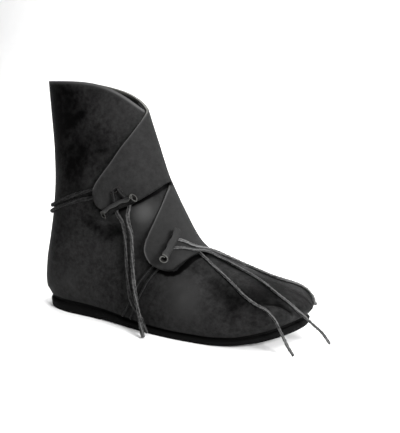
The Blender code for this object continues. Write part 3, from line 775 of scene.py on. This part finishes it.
def lay_grid(bm, columns, rows, where):
    """Add a grid and put its vertex (i, j) at where(columns[i], rows[j])."""
    across = len(columns) - 1
    up = len(rows) - 1
    verts = bmesh.ops.create_grid(bm, x_segments=across, y_segments=up, size=1.0)["verts"]
    i = np.array([round((vertex.co.x + 1) / 2 * across) for vertex in verts])
    j = np.array([round((vertex.co.y + 1) / 2 * up) for vertex in verts])
    places = where(np.asarray(columns)[i], np.asarray(rows)[j])
    for vertex, place in zip(verts, places):
        vertex.co = Vector((place + SHIFT) * MM)
    return verts, np.asarray(columns)[i], np.asarray(rows)[j]


def lay_leather(bm, columns, rows, where, tone):
    """A sheet of the upper, with its stains, painted shade and painted highlights kept on its vertices."""
    layer = bm.verts.layers.float.get("stain_and_shade") or bm.verts.layers.float.new("stain_and_shade")
    verts, a, b = lay_grid(bm, columns, rows, lambda a, b: on_upper(*where(a, b)))
    t, q, _ = where(a, b)
    for vertex, value in zip(verts, tone(t, q)):
        vertex[layer] = value


def open_slit(bm, line):
    """Cut the sheet along the vertices nearest a line of places, and draw the two lips apart."""
    spots = [Vector((place + SHIFT) * MM) for place in line]
    chain = [min(bm.verts, key=lambda vertex: (vertex.co - spot).length_squared) for spot in spots]
    chain = [vertex for k, vertex in enumerate(chain) if vertex not in chain[:k]]
    edges = [bm.edges.get(pair) for pair in zip(chain, chain[1:])]
    middle = (spots[0] + spots[-1]) / 2
    half = (spots[-1] - spots[0]).length / 2
    cut = bmesh.ops.split_edges(bm, edges=[edge for edge in edges if edge])
    lips = [vertex for edge in cut["edges"] for vertex in edge.verts]
    for vertex in dict.fromkeys(lips):
        faces = vertex.link_faces
        pull = sum((face.calc_center_median() for face in faces), Vector()) / len(faces) - vertex.co
        share = max(1 - ((vertex.co - middle).length / half) ** 2, 0.0)
        vertex.co += pull.normalized() * SLIT_HALF_OPEN * MM * share


def mesh_from(bm, name):
    """A smooth mesh."""
    mesh = bpy.data.meshes.new(name)
    bm.to_mesh(mesh)
    bm.free()
    mesh.shade_smooth()
    return mesh


def weld(bm):
    """Join the vertices that meet, and clear what is left with no size."""
    bmesh.ops.remove_doubles(bm, verts=bm.verts[:], dist=WELD * MM)
    bmesh.ops.dissolve_degenerate(bm, edges=bm.edges[:], dist=WELD / 2 * MM)


def add_object(name, data):
    """An object in the scene."""
    made = bpy.data.objects.new(name, data)
    bpy.context.scene.collection.objects.link(made)
    return made


def add_piece(name, data, materials, slot, *nodes):
    """A finished piece that rides on the boot, with its materials, and stands for CAD nodes, which it hides.
    The slot is not used.
    """
    for material in materials:
        data.materials.append(material)
    piece = add_object(name, data)
    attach(piece, "root")
    if nodes:
        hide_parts(*nodes)
    return piece


def soften_edges(piece, width, segments, angle):
    """Round off the edges that turn more than an angle."""
    bevel = piece.modifiers.new("edges", "BEVEL")
    bevel.width = width * MM
    bevel.segments = segments
    bevel.limit_method = "ANGLE"
    bevel.angle_limit = math.radians(angle)


def thicken(piece, thickness):
    """Give a sheet its wall, inwards, with its second material on the cut edges and its third inside."""
    wall = piece.modifiers.new("wall", "SOLIDIFY")
    wall.thickness = thickness * MM
    wall.offset = -1.0
    wall.use_quality_normals = True
    wall.material_offset = 2
    wall.material_offset_rim = 1


def keep_corners(piece, angle):
    """Take a piece's wall into its mesh, and keep the edges that turn more than an angle as crisp corners."""
    sheet = piece.data
    name = sheet.name
    depsgraph = bpy.context.evaluated_depsgraph_get()
    mesh = bpy.data.meshes.new_from_object(piece.evaluated_get(depsgraph), preserve_all_data_layers=True,
                                           depsgraph=depsgraph)
    mesh.set_sharp_from_angle(angle=math.radians(angle))
    piece.modifiers.clear()
    piece.data = mesh
    bpy.data.meshes.remove(sheet)
    mesh.name = name


def make_upper(leather, edge, flesh):
    """Two halves and two flaps as one open sheet, thickened inwards to the leather's wall."""
    foot_rows = even_rows([0.0, THROAT, FLAP_START], FOOT_STEP)
    lower_rows = even_rows([FLAP_START, HEEL_CORNER, NOTCH], SHAFT_STEP)
    inner_stops = sorted(section for pair in INNER_SLIT_SECTIONS for section in pair)
    upper_rows = even_rows([NOTCH, FLAP_SLIT_ROW, *inner_stops, COLLAR], SHAFT_STEP)
    rows = np.concatenate([foot_rows, lower_rows[1:], upper_rows[1:]])
    inner_girths = np.concatenate([np.linspace(-1.0, INNER_SLIT_GIRTH, BACK_GIRTHS),
                                   np.linspace(INNER_SLIT_GIRTH, 0.0, INNER_GIRTHS)[1:]])

    def closed_at_toe(t, share):
        """The outer half, with the inner half's girths at the toe tip, so that they meet in one seam."""
        nearest = -inner_girths[np.abs(inner_girths + share[:, None]).argmin(axis=1)]
        return outer_half(t, np.where(t == 0, nearest, share))

    bm = bmesh.new()
    lay_leather(bm, rows, np.linspace(0.0, 1.0, OUTER_GIRTHS), closed_at_toe, outer_stain_and_shade)
    lay_leather(bm, rows, inner_girths, inner_half, stain_and_shade)
    flap_girths = {}
    for name, table, flap_rows, tone in (("lower", LOWER_FLAP, lower_rows, lower_flap_tone_and_shade),
                                         ("upper", UPPER_FLAP, upper_rows, upper_flap_tone_and_shade)):
        tip = table[-1][FLAP_COLUMNS.index("q")]
        flap_girths[name] = tip * (1 - (1 - np.linspace(0.0, 1.0, FLAP_GIRTHS)) ** FLAP_CROWDING)
        lay_leather(bm, flap_rows, flap_girths[name], flap(table), tone)
    weld(bm)
    upper_flap = flap(UPPER_FLAP)
    girths = flap_girths["upper"]
    inside = girths[(girths > FLAP_SLIT_GIRTHS[0]) & (girths < FLAP_SLIT_GIRTHS[1])]
    open_slit(bm, [on_upper(*upper_flap(FLAP_SLIT_ROW, girth)) for girth in inside])
    for low, high in INNER_SLIT_SECTIONS:
        inside = rows[(rows >= low) & (rows <= high)]
        open_slit(bm, [on_upper(*inner_half(section, INNER_SLIT_GIRTH)) for section in inside])
    upper = add_piece("upper_leather", mesh_from(bm, "upper_leather"), [leather, edge, flesh], "leather",
                      "upper")
    thicken(upper, WALL)
    keep_corners(upper, CORNER_ANGLE)


def sole_slab(name, length, width_share, top, under, profile, material, slot, node):
    """A slab with the sole's outline: a top sheet, an under sheet and a wall that follows a profile."""
    crowded = (1 - np.cos(np.linspace(0, math.pi, SOLE_ROWS))) / 2
    rows = np.sort(np.concatenate([crowded, [HEEL_BREAST, HEEL_BREAST + BREAST_SLOPE]]))
    depths = column(profile, PROFILE_COLUMNS, "depth")
    insets = column(profile, PROFILE_COLUMNS, "inset")

    def place(u, share, depth, inset):
        x = (u - 0.5) * (length - 2 * inset)
        reach = half_width(u, share <= 0) * width_share * (1 - inset / PROFILE_HALF_WIDTH)
        high = top(along(x))
        low = under(along(x))
        return np.stack([x, middle_y(along(x)) + share * reach, high + (low - high) * depth], axis=-1)

    bm = bmesh.new()
    for k in (0, -1):
        lay_grid(bm, rows, np.linspace(-1.0, 1.0, SOLE_ACROSS),
                 lambda u, share: place(u, share, depths[k], insets[k]))
    for side in (-1.0, 1.0):
        lay_grid(bm, rows, np.arange(len(profile)),
                 lambda u, k: place(u, np.full(u.shape, side), depths[k], insets[k]))
    weld(bm)
    bmesh.ops.recalc_face_normals(bm, faces=bm.faces[:])
    return add_piece(name, mesh_from(bm, name), [material], slot, node)


def make_outsole(rubber):
    """The rubber sole, with a flat heel and toe spring."""
    outsole = sole_slab("rubber_sole", SOLE_LENGTH, 1.0, sole_top, sole_under, SOLE_PROFILE,
                        rubber, "rubber", "outsole")
    soften_edges(outsole, width=0.7, segments=3, angle=45)


def make_insole(leather):
    """The insole, which lies on the sole."""
    def under(u):
        return sole_top(u) + SEAT_GAP

    def top(u):
        return under(u) + INSOLE_THICKNESS

    insole = sole_slab("leather_insole", INSOLE_LENGTH, INSOLE_WIDTH_SHARE, top, under, INSOLE_PROFILE,
                       leather, "insole", "insole")
    soften_edges(insole, width=0.8, segments=2, angle=45)


def stop_place(on, first, second, third):
    """Where a route's stop lies: on the upper, on a flap or free in space."""
    if on == "upper":
        return on_upper(first, second, third)
    if on == "flap":
        return on_upper(first, second, flap_lift(second) + third)
    return np.array([first, second, third])


def run_of(points):
    """Distance of each point from the first, along the route."""
    return np.concatenate([[0.0], np.cumsum(np.linalg.norm(np.diff(points, axis=0), axis=1))])


def smooth_route(route, spacing):
    """Points about a spacing apart on one smooth curve through a route's stops."""
    places = np.array([stop_place(on, *stop) for on, stops in route for stop in stops])
    length = run_of(places)
    tangents = np.gradient(places, length, axis=0)
    dense = []
    for k in range(len(places) - 1):
        span = length[k + 1] - length[k]
        a = np.linspace(0, 1, ROUTE_SAMPLES, endpoint=False)[:, None]
        b = 1 - a
        dense.append(b * b * (1 + 2 * a) * places[k] + a * a * (3 - 2 * a) * places[k + 1]
                     + a * b * span * (b * tangents[k] - a * tangents[k + 1]))
    dense = np.concatenate(dense + [places[-1:]])
    run = run_of(dense)
    marks = np.linspace(0, run[-1], max(int(math.ceil(run[-1] / spacing)), 2) + 1)
    return np.stack([np.interp(marks, run, dense[:, axis]) for axis in range(3)], axis=1)


def frames_along(points, start):
    """Tangent, normal and binormal at each point of a route, carried on without twist from a start normal."""
    tangents = unit(np.gradient(points, axis=0))
    normals = []
    normal = np.asarray(start, dtype=float)
    for tangent in tangents:
        normal = unit(normal - tangent * (normal @ tangent))
        normals.append(normal)
    normals = np.array(normals)
    return tangents, normals, np.cross(tangents, normals)


def lace_mesh(name, points, width, thickness, twist):
    """A cut leather lace with rounded corners that turns once in every twist of its length."""
    _, normals, sides = frames_along(points, LACE_FACE)
    rings = len(points) + 2
    fullness = np.concatenate([LACE_TIP, np.ones(rings - 2 * len(LACE_TIP)), LACE_TIP[::-1]])
    steps = np.clip(np.arange(rings) - 1, 0, len(points) - 1)
    run = run_of(points)

    def where(ring, turn):
        k = steps[ring]
        angle = turn * 2 * math.pi
        power = LACE_SQUARENESS
        square = (np.abs(np.cos(angle)) ** power + np.abs(np.sin(angle)) ** power) ** (-1 / power)
        roll = run[k] / twist * 2 * math.pi
        uneven = 1 + sum(size * np.sin(pace * run[k] + number * angle) for size, pace, number in LACE_WAVES)
        across = width / 2 * np.cos(angle) * square * fullness[ring] * uneven
        out = thickness / 2 * np.sin(angle) * square * fullness[ring] * uneven
        side = across * np.cos(roll) - out * np.sin(roll)
        up = across * np.sin(roll) + out * np.cos(roll)
        return points[k] + sides[k] * side[:, None] + normals[k] * up[:, None]

    bm = bmesh.new()
    laid = lay_grid(bm, np.arange(rings), np.linspace(0.0, 1.0, LACE_AROUND + 1), where)
    spot = {vertex: (turn * LACE_GIRTH, run[steps[ring]]) for vertex, ring, turn in zip(*laid)}
    lengthwise = bm.loops.layers.uv.new("lengthwise")
    for face in bm.faces:
        for loop in face.loops:
            loop[lengthwise].uv = spot[loop.vert]
    weld(bm)
    bmesh.ops.recalc_face_normals(bm, faces=bm.faces[:])
    return mesh_from(bm, name)


def make_lace(name, route, width, thickness, twist, material, *nodes):
    """A stretch of lace along a route, and the route's points."""
    points = smooth_route(route, RING_SPACING)
    mesh = lace_mesh(name, points, width, thickness, twist)
    return add_piece(name, mesh, [material], "lace", *nodes), points


def make_free_end(name, route, width, *others):
    """A free end of lace, from its toggle to its cut tip."""
    piece, points = make_lace(name, route, width, *others)


def make_toggle(name, route, lip, flares, materials):
    """A toggle rolled from a strip of leather: its outer lip runs along it, and its ragged ends flare."""
    points = smooth_route(route, RING_SPACING)
    _, stops = route[0]
    t, q, _ = stops[len(stops) // 2]
    tangents, normals, sides = frames_along(points, outward(t, q))
    run = run_of(points)

    def where(mark, share):
        first = mark < run[-1] / 2
        end = np.abs(2 * mark / run[-1] - 1) ** END_POWER
        ragged = sum(depth * np.sin(share * pace + start) for depth, pace, start in RAGS)
        angle = lip + LIP_WAVER * np.sin(mark * LIP_PACE) - (1 - share) * TOGGLE_TURNS * 2 * math.pi
        radius = TOGGLE / 2 * (1 + np.where(first, flares[0], flares[1]) * end * share)
        radius = radius - (1 - share) * TOGGLE_TURNS * TOGGLE_STRIP
        k = np.clip(np.searchsorted(run, mark), 0, len(run) - 1)
        axis = np.stack([np.interp(mark, run, column) for column in points.T], axis=-1)
        axis = axis + tangents[k] * (ragged * end * np.where(first, -1.0, 1.0))[:, None]
        around = normals[k] * np.cos(angle)[:, None] + sides[k] * np.sin(angle)[:, None]
        return axis + around * radius[:, None]

    bm = bmesh.new()
    layer = bm.verts.layers.float.new("stain_and_shade")
    verts, _, shares = lay_grid(bm, np.linspace(0.0, run[-1], TOGGLE_ROWS),
                                np.linspace(0.0, 1.0, TOGGLE_ROWS), where)
    # The strip's tone: painted shade towards its inner end, under the lip, and a paler lip, rubbed and partly
    # a painted highlight
    for vertex, share in zip(verts, shares):
        vertex[layer] = np.interp(share, ROLL_SHARES, ROLL_SHADE_AND_WEAR)
    bmesh.ops.reverse_faces(bm, faces=bm.faces[:])
    toggle = add_piece(name + "_roll", mesh_from(bm, name + "_roll"), materials, "lace", name)
    thicken(toggle, TOGGLE_STRIP * STRIP_FIT)
    soften_edges(toggle, width=0.3, segments=2, angle=55)


def srgb(text):
    """Linear colour of an sRGB hex value."""
    values = [int(text[k:k + 2], 16) / 255 for k in (1, 3, 5)]
    linear = [value / 12.92 if value <= 0.04045 else ((value + 0.055) / 1.055) ** 2.4 for value in values]
    return linear + [1.0]


def add_node(tree, kind, inputs=None, **settings):
    """A shader node with its settings, its inputs set or linked by name or number."""
    made = tree.nodes.new("ShaderNode" + kind)
    for name, value in settings.items():
        setattr(made, name, value)
    for name, value in (inputs or {}).items():
        if isinstance(value, bpy.types.NodeSocket):
            tree.links.new(value, made.inputs[name])
        else:
            made.inputs[name].default_value = value
    return made


def new_material(name, **sockets):
    """A material with the given values on its shader's own sockets."""
    material = bpy.data.materials.new(name)
    material.use_nodes = True
    shader = material.node_tree.nodes["Principled BSDF"]
    for socket, value in sockets.items():
        shader.inputs[socket.replace("_", " ")].default_value = value
    return material.node_tree, shader, material


def per_mm(size):
    """Scale of a pattern whose marks are about this many millimetres across, on Object coordinates."""
    return 1 / (size * MM)


def place_on(tree):
    """Place on a piece, in the boot's frame."""
    return add_node(tree, "TexCoord").outputs["Object"]


def vertex_stain_and_shade(tree):
    """How dark the leather is painted, or how pale if negative, as kept on its vertices: oil stains and
    rubbed places, and also painted shade, painted shadows and painted highlights.
    """
    return add_node(tree, "Attribute", attribute_name="stain_and_shade").outputs["Fac"]


def facing_up(tree):
    """How far a face looks up, from -1 to 1."""
    return add_node(tree, "SeparateXYZ", {0: add_node(tree, "NewGeometry").outputs["Normal"]}).outputs["Z"]


def noise(tree, place, scale, detail, roughness):
    """A cloudy pattern."""
    return add_node(tree, "TexNoise", {"Vector": place, "Scale": scale, "Detail": detail,
                                       "Roughness": roughness}).outputs["Fac"]


def spread(tree, value, source=(0.0, 1.0), target=(0.0, 1.0)):
    """A value carried over from one range to another, and held at the ends."""
    return add_node(tree, "MapRange", {"Value": value, "From Min": source[0], "From Max": source[1],
                                       "To Min": target[0], "To Max": target[1]}).outputs[0]


def worked_out(tree, operation, *values):
    """A sum, a product or another function of values."""
    return add_node(tree, "Math", dict(enumerate(values)), operation=operation).outputs[0]


def between(tree, share, first, second):
    """A colour between two."""
    return add_node(tree, "Mix", {0: share, 6: first, 7: second}, data_type="RGBA").outputs[2]


def bump(tree, height, strength, depth, **under):
    """Relief of a depth in millimetres, on top of another relief if that is given as Normal."""
    return add_node(tree, "Bump", {"Height": height, "Strength": strength, "Distance": depth * MM,
                                   **under}).outputs[0]


def join(tree, shader, **sockets):
    """Link values to a shader's sockets."""
    for socket, value in sockets.items():
        tree.links.new(value, shader.inputs[socket.replace("_", " ")])


def nubuck():
    """Black oiled nubuck, buffed on the grain side: matt, with a short nap that catches light at the rims,
    cloudy where the oil has sunk in, and a fine grain. Its darkness follows the tone kept on the vertices,
    which holds oil stains and rubbed places and also painted shade, painted shadows and painted highlights.
    The grain is drawn at 1.6 mm so that it shows."""
    tree, shader, material = new_material("oiled nubuck", Specular_IOR_Level=0.022, IOR=1.47,
                                          Sheen_Weight=0.004, Sheen_Roughness=0.35,
                                          Sheen_Tint=srgb("#b8b8b8"))
    place = place_on(tree)
    oil_and_shade = vertex_stain_and_shade(tree)
    cloud = noise(tree, place, per_mm(24), detail=5.0, roughness=0.6)
    fleck = noise(tree, place, per_mm(5), detail=5.0, roughness=0.7)
    grain = noise(tree, place, per_mm(1.6), detail=3.0, roughness=0.55)
    mottle = worked_out(tree, "ADD", spread(tree, cloud, (0.36, 0.64), (-0.18, 0.18)),
                        spread(tree, fleck, (0.35, 0.65), (-0.42, 0.42)))
    bare = spread(tree, oil_and_shade, (-1.0, 0.0))
    mottle_damping = spread(tree, oil_and_shade, (0.2, 0.9), (1.0, 0.5))
    patches = worked_out(tree, "MULTIPLY", mottle, worked_out(tree, "MULTIPLY", bare, mottle_damping))
    depth = worked_out(tree, "ADD", oil_and_shade, patches)
    dark = spread(tree, depth, (-1.0, 1.0))
    # Base colour: darker with oil stains and with painted shade and shadows, paler with rubbed places and
    # painted highlights
    dark_tone = between(tree, dark, srgb("#2b2b2b"), srgb("#030303"))
    wear_and_light = spread(tree, depth, (-1.0, -2.0))
    fine = bump(tree, grain, strength=0.35, depth=0.25)
    join(tree, shader, Base_Color=between(tree, wear_and_light, dark_tone, srgb("#484848")),
         Roughness=spread(tree, dark, target=(0.58, 0.5)),
         Normal=bump(tree, fleck, strength=0.4, depth=0.6, Normal=fine))
    return material


def cut_edge(name, below, dull, pale):
    """The cut edge of the hide: pale and fibrous, because the dye doesn't reach through. It shows its fibres
    where it faces up, as painted light, and takes the colour for below where it faces down, as painted shade,
    and also where the tone kept on the vertices is dark, from oil stains and painted shade."""
    tree, shader, material = new_material(name, Roughness=0.8, Specular_IOR_Level=0.15)
    fibre = noise(tree, place_on(tree), per_mm(1.4), detail=3.0, roughness=0.6)
    # Painted light and shade: the fibres show on faces that look up, and faces that look down take the colour
    # for below
    lit_from_above = spread(tree, facing_up(tree), (-0.2, 0.4))
    unstained_unshaded = spread(tree, vertex_stain_and_shade(tree), (1.0, 0.6))
    lit_and_unstained = worked_out(tree, "MULTIPLY", lit_from_above, unstained_unshaded)
    hide = between(tree, fibre, srgb(dull), srgb(pale))
    join(tree, shader, Base_Color=between(tree, lit_and_unstained, srgb(below), hide),
         Normal=bump(tree, fibre, strength=0.5, depth=0.3))
    return material


def flesh_side():
    """The unlined inside of the hide: a dull, brushed suede with loose fibres a couple of millimetres long,
    and paler where it is rubbed at a rim."""
    tree, shader, material = new_material("leather flesh side", Roughness=0.9, Specular_IOR_Level=0.2,
                                          Sheen_Weight=0.05, Sheen_Roughness=0.5)
    place = place_on(tree)
    nap = noise(tree, place, per_mm(2.2), detail=5.0, roughness=0.65)
    patch = noise(tree, place, per_mm(18), detail=3.0, roughness=0.5)
    shade = spread(tree, worked_out(tree, "MULTIPLY", nap, patch), (0.12, 0.42))
    suede = between(tree, shade, srgb("#0e0d0d"), srgb("#1e1c1b"))
    rim = spread(tree, vertex_stain_and_shade(tree), (-0.8, -2.0))
    join(tree, shader, Base_Color=between(tree, rim, suede, srgb("#5c5c58")),
         Normal=bump(tree, nap, strength=0.5, depth=0.4))
    return material


def insole_leather():
    """Plain vegetable-tanned leather, darkened by wear: smooth and slightly polished, with a faint grain."""
    tree, shader, material = new_material("vegetable-tanned insole leather", Specular_IOR_Level=0.4, IOR=1.47)
    place = place_on(tree)
    wear = noise(tree, place, per_mm(30), detail=4.0, roughness=0.55)
    grain = add_node(tree, "TexVoronoi", {"Vector": place, "Scale": per_mm(1.8)}, feature="DISTANCE_TO_EDGE")
    join(tree, shader, Base_Color=between(tree, wear, srgb("#2a2521"), srgb("#4a4038")),
         Roughness=spread(tree, wear, target=(0.5, 0.75)),
         Normal=bump(tree, grain.outputs["Distance"], strength=0.25, depth=0.2))
    return material


def sole_rubber():
    """Moulded black rubber: matt and a little dusty, with a fine pitted skin and bars of tread underneath."""
    tree, shader, material = new_material("moulded rubber", Specular_IOR_Level=0.03, IOR=1.52)
    place = place_on(tree)
    dust = noise(tree, place, per_mm(14), detail=5.0, roughness=0.65)
    pits = noise(tree, place, per_mm(1.3), detail=2.0, roughness=0.5)
    bars = add_node(tree, "TexWave", {"Vector": place, "Scale": per_mm(5) / 20, "Distortion": 0.0},
                    bands_direction="X")
    below = spread(tree, facing_up(tree), (-0.6, -0.9))
    tread = worked_out(tree, "MULTIPLY", bars.outputs["Fac"], below)
    skin = bump(tree, pits, strength=0.3, depth=0.25)
    join(tree, shader, Base_Color=between(tree, dust, srgb("#050505"), srgb("#0d0d0d")),
         Roughness=spread(tree, dust, target=(0.55, 0.85)),
         Normal=bump(tree, tread, strength=0.8, depth=1.2, Normal=skin))
    return material


def lace_leather(name, pale, dark):
    """Laces cut from the same hide: rough, fibrous and uneven, and paler along their corners, a painted
    highlight where the corners catch the light. The marks run across the lace, about 2.4 mm apart, and are
    drawn that coarse so that they show."""
    tree, shader, material = new_material(name, Specular_IOR_Level=0.08, IOR=1.47, Sheen_Weight=0.02,
                                          Sheen_Roughness=0.4, Sheen_Tint=srgb("#c0c0c0"))
    lengthwise = add_node(tree, "UVMap", uv_map="lengthwise").outputs["UV"]
    around = add_node(tree, "SeparateXYZ", {0: lengthwise}).outputs["X"]
    wave = worked_out(tree, "SINE", worked_out(tree, "MULTIPLY", around, 4 * math.pi / LACE_GIRTH))
    # Painted highlight along the lace's four corners
    corner_highlight = spread(tree, worked_out(tree, "ABSOLUTE", wave), (0.75, 1.0), (-0.12, 0.3))
    stretched = add_node(tree, "Mapping", {"Vector": lengthwise, "Scale": (0.3, 0.42, 1.0)}).outputs[0]
    marks = noise(tree, stretched, scale=1.0, detail=3.0, roughness=0.6)
    wear = noise(tree, lengthwise, scale=1 / 9, detail=3.0, roughness=0.6)
    wear_and_light = worked_out(tree, "ADD", worked_out(tree, "MULTIPLY_ADD", marks, 0.9, wear), corner_highlight)
    shade = spread(tree, wear_and_light, (0.68, 1.25))
    join(tree, shader, Base_Color=between(tree, shade, srgb(dark), srgb(pale)),
         Roughness=spread(tree, shade, target=(0.6, 0.8)),
         Normal=bump(tree, marks, strength=0.9, depth=0.9))
    return material


def paper():
    """Matt white background paper."""
    tree, shader, material = new_material("matt white paper", Roughness=0.95, Specular_IOR_Level=0.1)
    tooth = noise(tree, place_on(tree), per_mm(60), detail=2.0, roughness=0.5)
    join(tree, shader, Base_Color=between(tree, tooth, srgb("#f4f4f4"), srgb("#f8f8f8")))
    return material


def make_floor(material):
    """A wide sheet of paper that lies under the boot and rises in a long sweep behind it."""
    def where(x, run):
        bend = np.clip((run - FLOOR_FLAT) / FLOOR_SWEEP, 0.0, math.pi / 2)
        rise = np.maximum(run - FLOOR_FLAT - FLOOR_SWEEP * math.pi / 2, 0.0)
        y = np.minimum(run, FLOOR_FLAT) + FLOOR_SWEEP * np.sin(bend)
        z = FLOOR_SWEEP * (1 - np.cos(bend)) + rise
        return np.stack([x, y, z], axis=-1)

    bm = bmesh.new()
    lay_grid(bm, np.linspace(*FLOOR_ACROSS), np.linspace(*FLOOR_ALONG), where)
    bmesh.ops.recalc_face_normals(bm, faces=bm.faces[:])
    mesh = mesh_from(bm, "paper_floor")
    mesh.materials.append(material)
    floor = add_object("paper_floor", mesh)


def make_light(name, place, target, size, power):
    """A soft rectangular lamp at a place, facing a target."""
    lamp = bpy.data.lights.new(name, "AREA")
    lamp.shape = "RECTANGLE"
    lamp.size = size[0] * MM
    lamp.size_y = size[1] * MM
    lamp.energy = power
    light = add_object(name, lamp)
    place = Vector(place) * MM
    light.location = place
    light.rotation_euler = (Vector(target) * MM - place).to_track_quat("-Z", "Y").to_euler()


def make_world(strength):
    """An even white sky."""
    world = bpy.data.worlds.new("studio")
    world.use_nodes = True
    sky = world.node_tree.nodes["Background"]
    sky.inputs["Color"].default_value = (1.0, 1.0, 1.0, 1.0)
    sky.inputs["Strength"].default_value = strength
    bpy.context.scene.world = world


def make_camera():
    """The photograph's eye: it stands to the front of the outer side and looks a little down."""
    azimuth = math.radians(CAMERA_AZIMUTH)
    turn = math.radians(CAMERA_TURN)
    tilt = math.radians(CAMERA_TILT)
    ahead = Vector((-math.sin(azimuth), math.cos(azimuth), 0.0))
    right = Vector((math.cos(azimuth), math.sin(azimuth), 0.0))
    level = ahead * math.cos(turn) + right * math.sin(turn)
    right = right * math.cos(turn) - ahead * math.sin(turn)
    forward = level * math.cos(tilt) + Vector((0.0, 0.0, -1.0)) * math.sin(tilt)
    up = right.cross(forward)
    eye = Vector(SHIFT) - ahead * CAMERA_DISTANCE + Vector((0.0, 0.0, CAMERA_HEIGHT))
    data = bpy.data.cameras.new("camera")
    data.sensor_fit = "HORIZONTAL"
    data.sensor_width = SENSOR
    data.lens = FOCAL_PIXELS / PICTURE_WIDTH * SENSOR
    data.clip_end = CLIP_END
    camera = add_object("camera", data)
    turned = Matrix((right, up, -forward)).transposed().to_4x4()
    camera.matrix_world = Matrix.Translation(eye * MM) @ turned
    bpy.context.scene.camera = camera


make_camera()
bpy.context.scene.view_settings.view_transform = "Standard"

cut_lace = lace_leather("cut lace leather", "#4e4e4e", "#191919")
dull_lace = lace_leather("dull lace leather", "#3c3c3c", "#121212")
oiled_lace = lace_leather("oiled lace leather", "#262626", "#070707")
rubbed_lace = lace_leather("rubbed lace leather", "#585858", "#1e1e1e")
worn_lace = lace_leather("worn lace leather", "#6c6c6c", "#303030")
nubuck_leather = nubuck()
edge_leather = cut_edge("cut leather edge", "#080808", "#4a4a48", "#80807c")
rubbed_edge = cut_edge("rubbed leather edge", "#4e4e4c", "#2e2e2c", "#565653")
oiled_edge = cut_edge("oiled leather edge", "#343432", "#222220", "#424240")
flesh_leather = flesh_side()

make_upper(nubuck_leather, edge_leather, flesh_leather)
make_outsole(sole_rubber())
make_insole(insole_leather())

# Held strands: name, route, width, thickness, length of one turn, leather, nodes that they stand for
for strand in (
    ("ankle_strand_front", ANKLE_STRAND_FRONT, ANKLE_LACE, 2.8, 90.0, oiled_lace,
     "ankle_lace", "ankle_pull_front"),
    ("ankle_strand_rear", ANKLE_STRAND_REAR, ANKLE_LACE, 2.8, 110.0, oiled_lace, "ankle_pull_rear"),
    ("instep_strand_rear", INSTEP_STRAND_REAR, INSTEP_LACE, 1.8, 200.0, oiled_lace, "instep_lace"),
    ("instep_strand_front", INSTEP_STRAND_FRONT, INSTEP_LACE, 1.8, 200.0, oiled_lace),
):
    make_lace(*strand)

# Toggles: node, route, angle of the lip, flare of the two ends, leathers
make_toggle("ankle_toggle", ANKLE_ROLL, 0.0, (0.1, 0.15), [nubuck_leather, oiled_edge, flesh_leather])
make_toggle("instep_toggle", INSTEP_ROLL, 0.35, (0.2, 0.15), [nubuck_leather, rubbed_edge, flesh_leather])

# Free ends, in the form of the strands
for end in (
    ("ankle_lace_end_front", ANKLE_END_FRONT, ANKLE_LACE, 3.0, 120.0, cut_lace, "ankle_end_front"),
    ("ankle_lace_end_rear", ANKLE_END_REAR, ANKLE_LACE, 3.0, 150.0, dull_lace, "ankle_end_rear"),
    ("instep_lace_end_inner", INSTEP_END_INNER, INSTEP_LACE, 2.4, 160.0, worn_lace, "instep_end_inner"),
    ("instep_lace_end_upper", INSTEP_END_UPPER, INSTEP_LACE, 2.3, 170.0, rubbed_lace, "instep_end_upper"),
    ("instep_lace_end_lower", INSTEP_END_LOWER, INSTEP_LACE, 2.3, 140.0, rubbed_lace, "instep_end_lower"),
):
    make_free_end(*end)

make_floor(paper())
make_world(WORLD_STRENGTH)
for lamp in LAMPS:
    make_light(*lamp)
